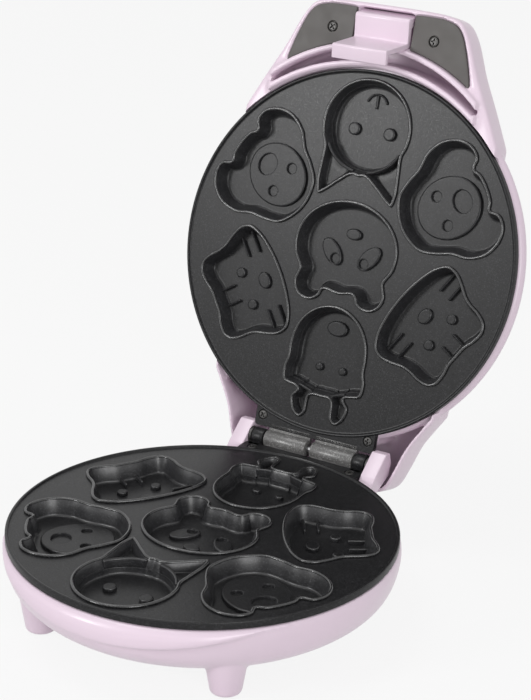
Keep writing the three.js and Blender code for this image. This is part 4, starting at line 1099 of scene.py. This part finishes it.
both = ("right", "left")
for name, body, place, points, length, facing, nodes in (
    ("base_flange_screws", "base", ON_BASE, sides(BASE_FLANGE_SCREW, -0.5), 9.4, UP,
     named("base_flange_screw", both)),
    ("base_housing_screws", "base", ON_BASE, [(*at, -28.1) for at in bowl_screws], 13, DOWN,
     named("base_screw")),
    ("lid_flange_screws", "lid", ON_LID, sides(LID_FLANGE_SCREW, 1.5), 14, DOWN,
     named("lid_flange_screw", both)),
    ("cover_screws", "lid", ON_LID, sides(COVER_SCREW, 1.1), 15.5, DOWN, named("cover_screw", both)),
):
    made = through_tree(
        fittings_on, points, [], place,
        Fitting=screw_head, Shank_length=length, Facing=facing, Finish=black_steel,
    )
    put_on(made, name, body, black_steel, nodes, 30)
pads = through_tree(
    fittings_on, [(x, y, -46) for x, y, _ in feet], [], ON_BASE,
    Fitting=pad, Shank_radius=3.0, Shank_length=1.0, Shank_top=0.0, Facing=UP, Finish=rubber,
)
put_on(pads, "foot_pads", "base", rubber, named("foot_pad"))
hinge_rod = rod(-38.2, 38.2, HINGE_AXIS, 1.5, 0.3, 24).mesh("pin", ON_BASE)
put_on(hinge_rod, "hinge_rod", "base", bright_steel, ["hinge_pin"])
caps = Form()
for s in (1, -1):
    caps.add(rod(*sorted((s * 37.4, s * 40.6)), HINGE_AXIS, 4.9, 0.5))
put_on(caps.mesh("caps", ON_BASE), "hinge_rod_caps", "base", black_steel)
clip_rod = rod(-20.5, 20.5, CLIP_AXIS, 1.1, 0.2, 20).mesh("pin", ON_LID)
put_on(clip_rod, "clip_rod", "lid", bright_steel, ["latch_pin"])
lens_profile = [(2.6, 43.1), (3, 43.1), (3, 45.6), (2.7, 46.0), (2.1, 46.25), (1.2, 46.3), (0.3, 46.3)]
for s, name, slot, glass in (
    (1, "ready_lamp_lens", "lamp_green", green_lens), (-1, "power_lamp_lens", "lamp_red", red_lens),
):
    lens = Form().turned(lens_profile, 32, (s * 9, -46))
    put_on(lens.mesh(name, ON_LID), name + "_cap", "lid", glass, [name])
coil_points = [(x, y, -15.4) for x, y in arc(60, 60, -255, 75, 90)]
coil_edges = [(k, k + 1) for k in range(90)]
for place, body in ((ON_BASE, "base"), (TURNED_OVER, "lid")):
    tube = through_tree(
        beads_on, coil_points, coil_edges, place, Bead_radius=3.2, Bead_sides=20, Finish=bright_steel
    )
    put_on(tube, f"{body}_heating_tube", body, bright_steel, [f"{body}_element"])

# Finishes of the CAD pieces that stay
kept = {
    "base_reflector": sheet_steel, "lid_reflector": sheet_steel, "thermostat": ceramic,
    "thermal_fuse": ceramic, "terminal_block": ceramic,
    **dict.fromkeys(named("lid_sheet_screw"), black_steel),
}
for name, material in kept.items():
    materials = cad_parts[name].data.materials
    materials.clear()
    materials.append(material)

# Floor, light and camera

def white_seen(tree, lit, white, surface, share=1.0):
    """Shows white for what is lit, to the camera, in reflections and through clear plastic."""
    path = tree.nodes.new("ShaderNodeLightPath")
    one, other = (add_node(tree, "ShaderNodeMath", operation="MAXIMUM") for _ in range(2))
    whiter = add_node(tree, "ShaderNodeMath", {1: share}, operation="MULTIPLY")
    mix = tree.nodes.new("ShaderNodeMixShader")
    wire(tree, [
        (path, "Is Camera Ray", one, 0), (path, "Is Glossy Ray", one, 1),
        (one, 0, other, 0), (path, "Is Transmission Ray", other, 1),
        (other, 0, whiter, 0), (whiter, 0, mix, "Fac"),
        (lit, 0, mix, 1), (white, 0, mix, 2), (mix, "Shader", surface, "Surface"),
    ])


floor_finish, tree, shader, place = finish("white_paper", (0.6, 0.6, 0.6), 0.9)
paper = ramp(tree, cloudy(tree, place, 3), (0.3, [0.595] * 3), (0.7, [0.605] * 3))
tree.links.new(paper, shader.inputs["Base Color"])
glow = add_node(tree, "ShaderNodeEmission", {"Strength": 1.0})
white_seen(tree, shader, glow, tree.nodes["Material Output"], 0.88)
floor_form = Form()
floor_form.faces = [floor_form.ring([(-6, -6), (6, -6), (6, 6), (-6, 6)], 0)]
floor = in_scene("floor", floor_form.mesh("floor"))
floor.data.materials.append(floor_finish)

world = bpy.data.worlds.new("studio")
bpy.context.scene.world = world
world.use_nodes = True
tree = world.node_tree
surround, backdrop = tree.nodes["Background"], tree.nodes.new("ShaderNodeBackground")
for background, strength in ((surround, 0.44), (backdrop, 1.0)):
    background.inputs["Color"].default_value = (1, 1, 1, 1)
    background.inputs["Strength"].default_value = strength
white_seen(tree, surround, backdrop, tree.nodes["World Output"])

LIT = Vector((0, 0, 0.1))
for name, position, size, power in (
    ("key", (-0.96, -1.6, 0.84), 0.4, 12),
    ("fill", (1.4, -1.2, 0.6), 0.9, 13),
    ("overhead", (-0.5, -0.3, 1.8), 0.7, 7),
):
    lamp = bpy.data.lights.new(name, "AREA")
    lamp.size = size
    lamp.energy = power
    item = in_scene(name, lamp)
    item.location = position
    item.rotation_euler = (LIT - Vector(position)).to_track_quat("-Z", "Y").to_euler()

camera_data = bpy.data.cameras.new("photograph")
camera_data.lens = 105.2
camera = in_scene("photograph", camera_data)
azimuth, elevation, roll = radians(30.39), radians(21.69), radians(1.45)
back = Vector((sin(azimuth) * cos(elevation), -cos(azimuth) * cos(elevation), sin(elevation)))
right = (-back).cross(Vector((0, 0, 1))).normalized()
up = right.cross(-back)
right, up = right * cos(roll) + up * sin(roll), up * cos(roll) - right * sin(roll)
turn = Matrix((right, up, back)).transposed().to_4x4()
camera.matrix_world = Matrix.Translation(PLATE_MIDDLE + Vector((518.2, -823.0, 487.8)) * MM) @ turn
bpy.context.scene.camera = camera
bpy.context.scene.view_settings.view_transform = "Standard"
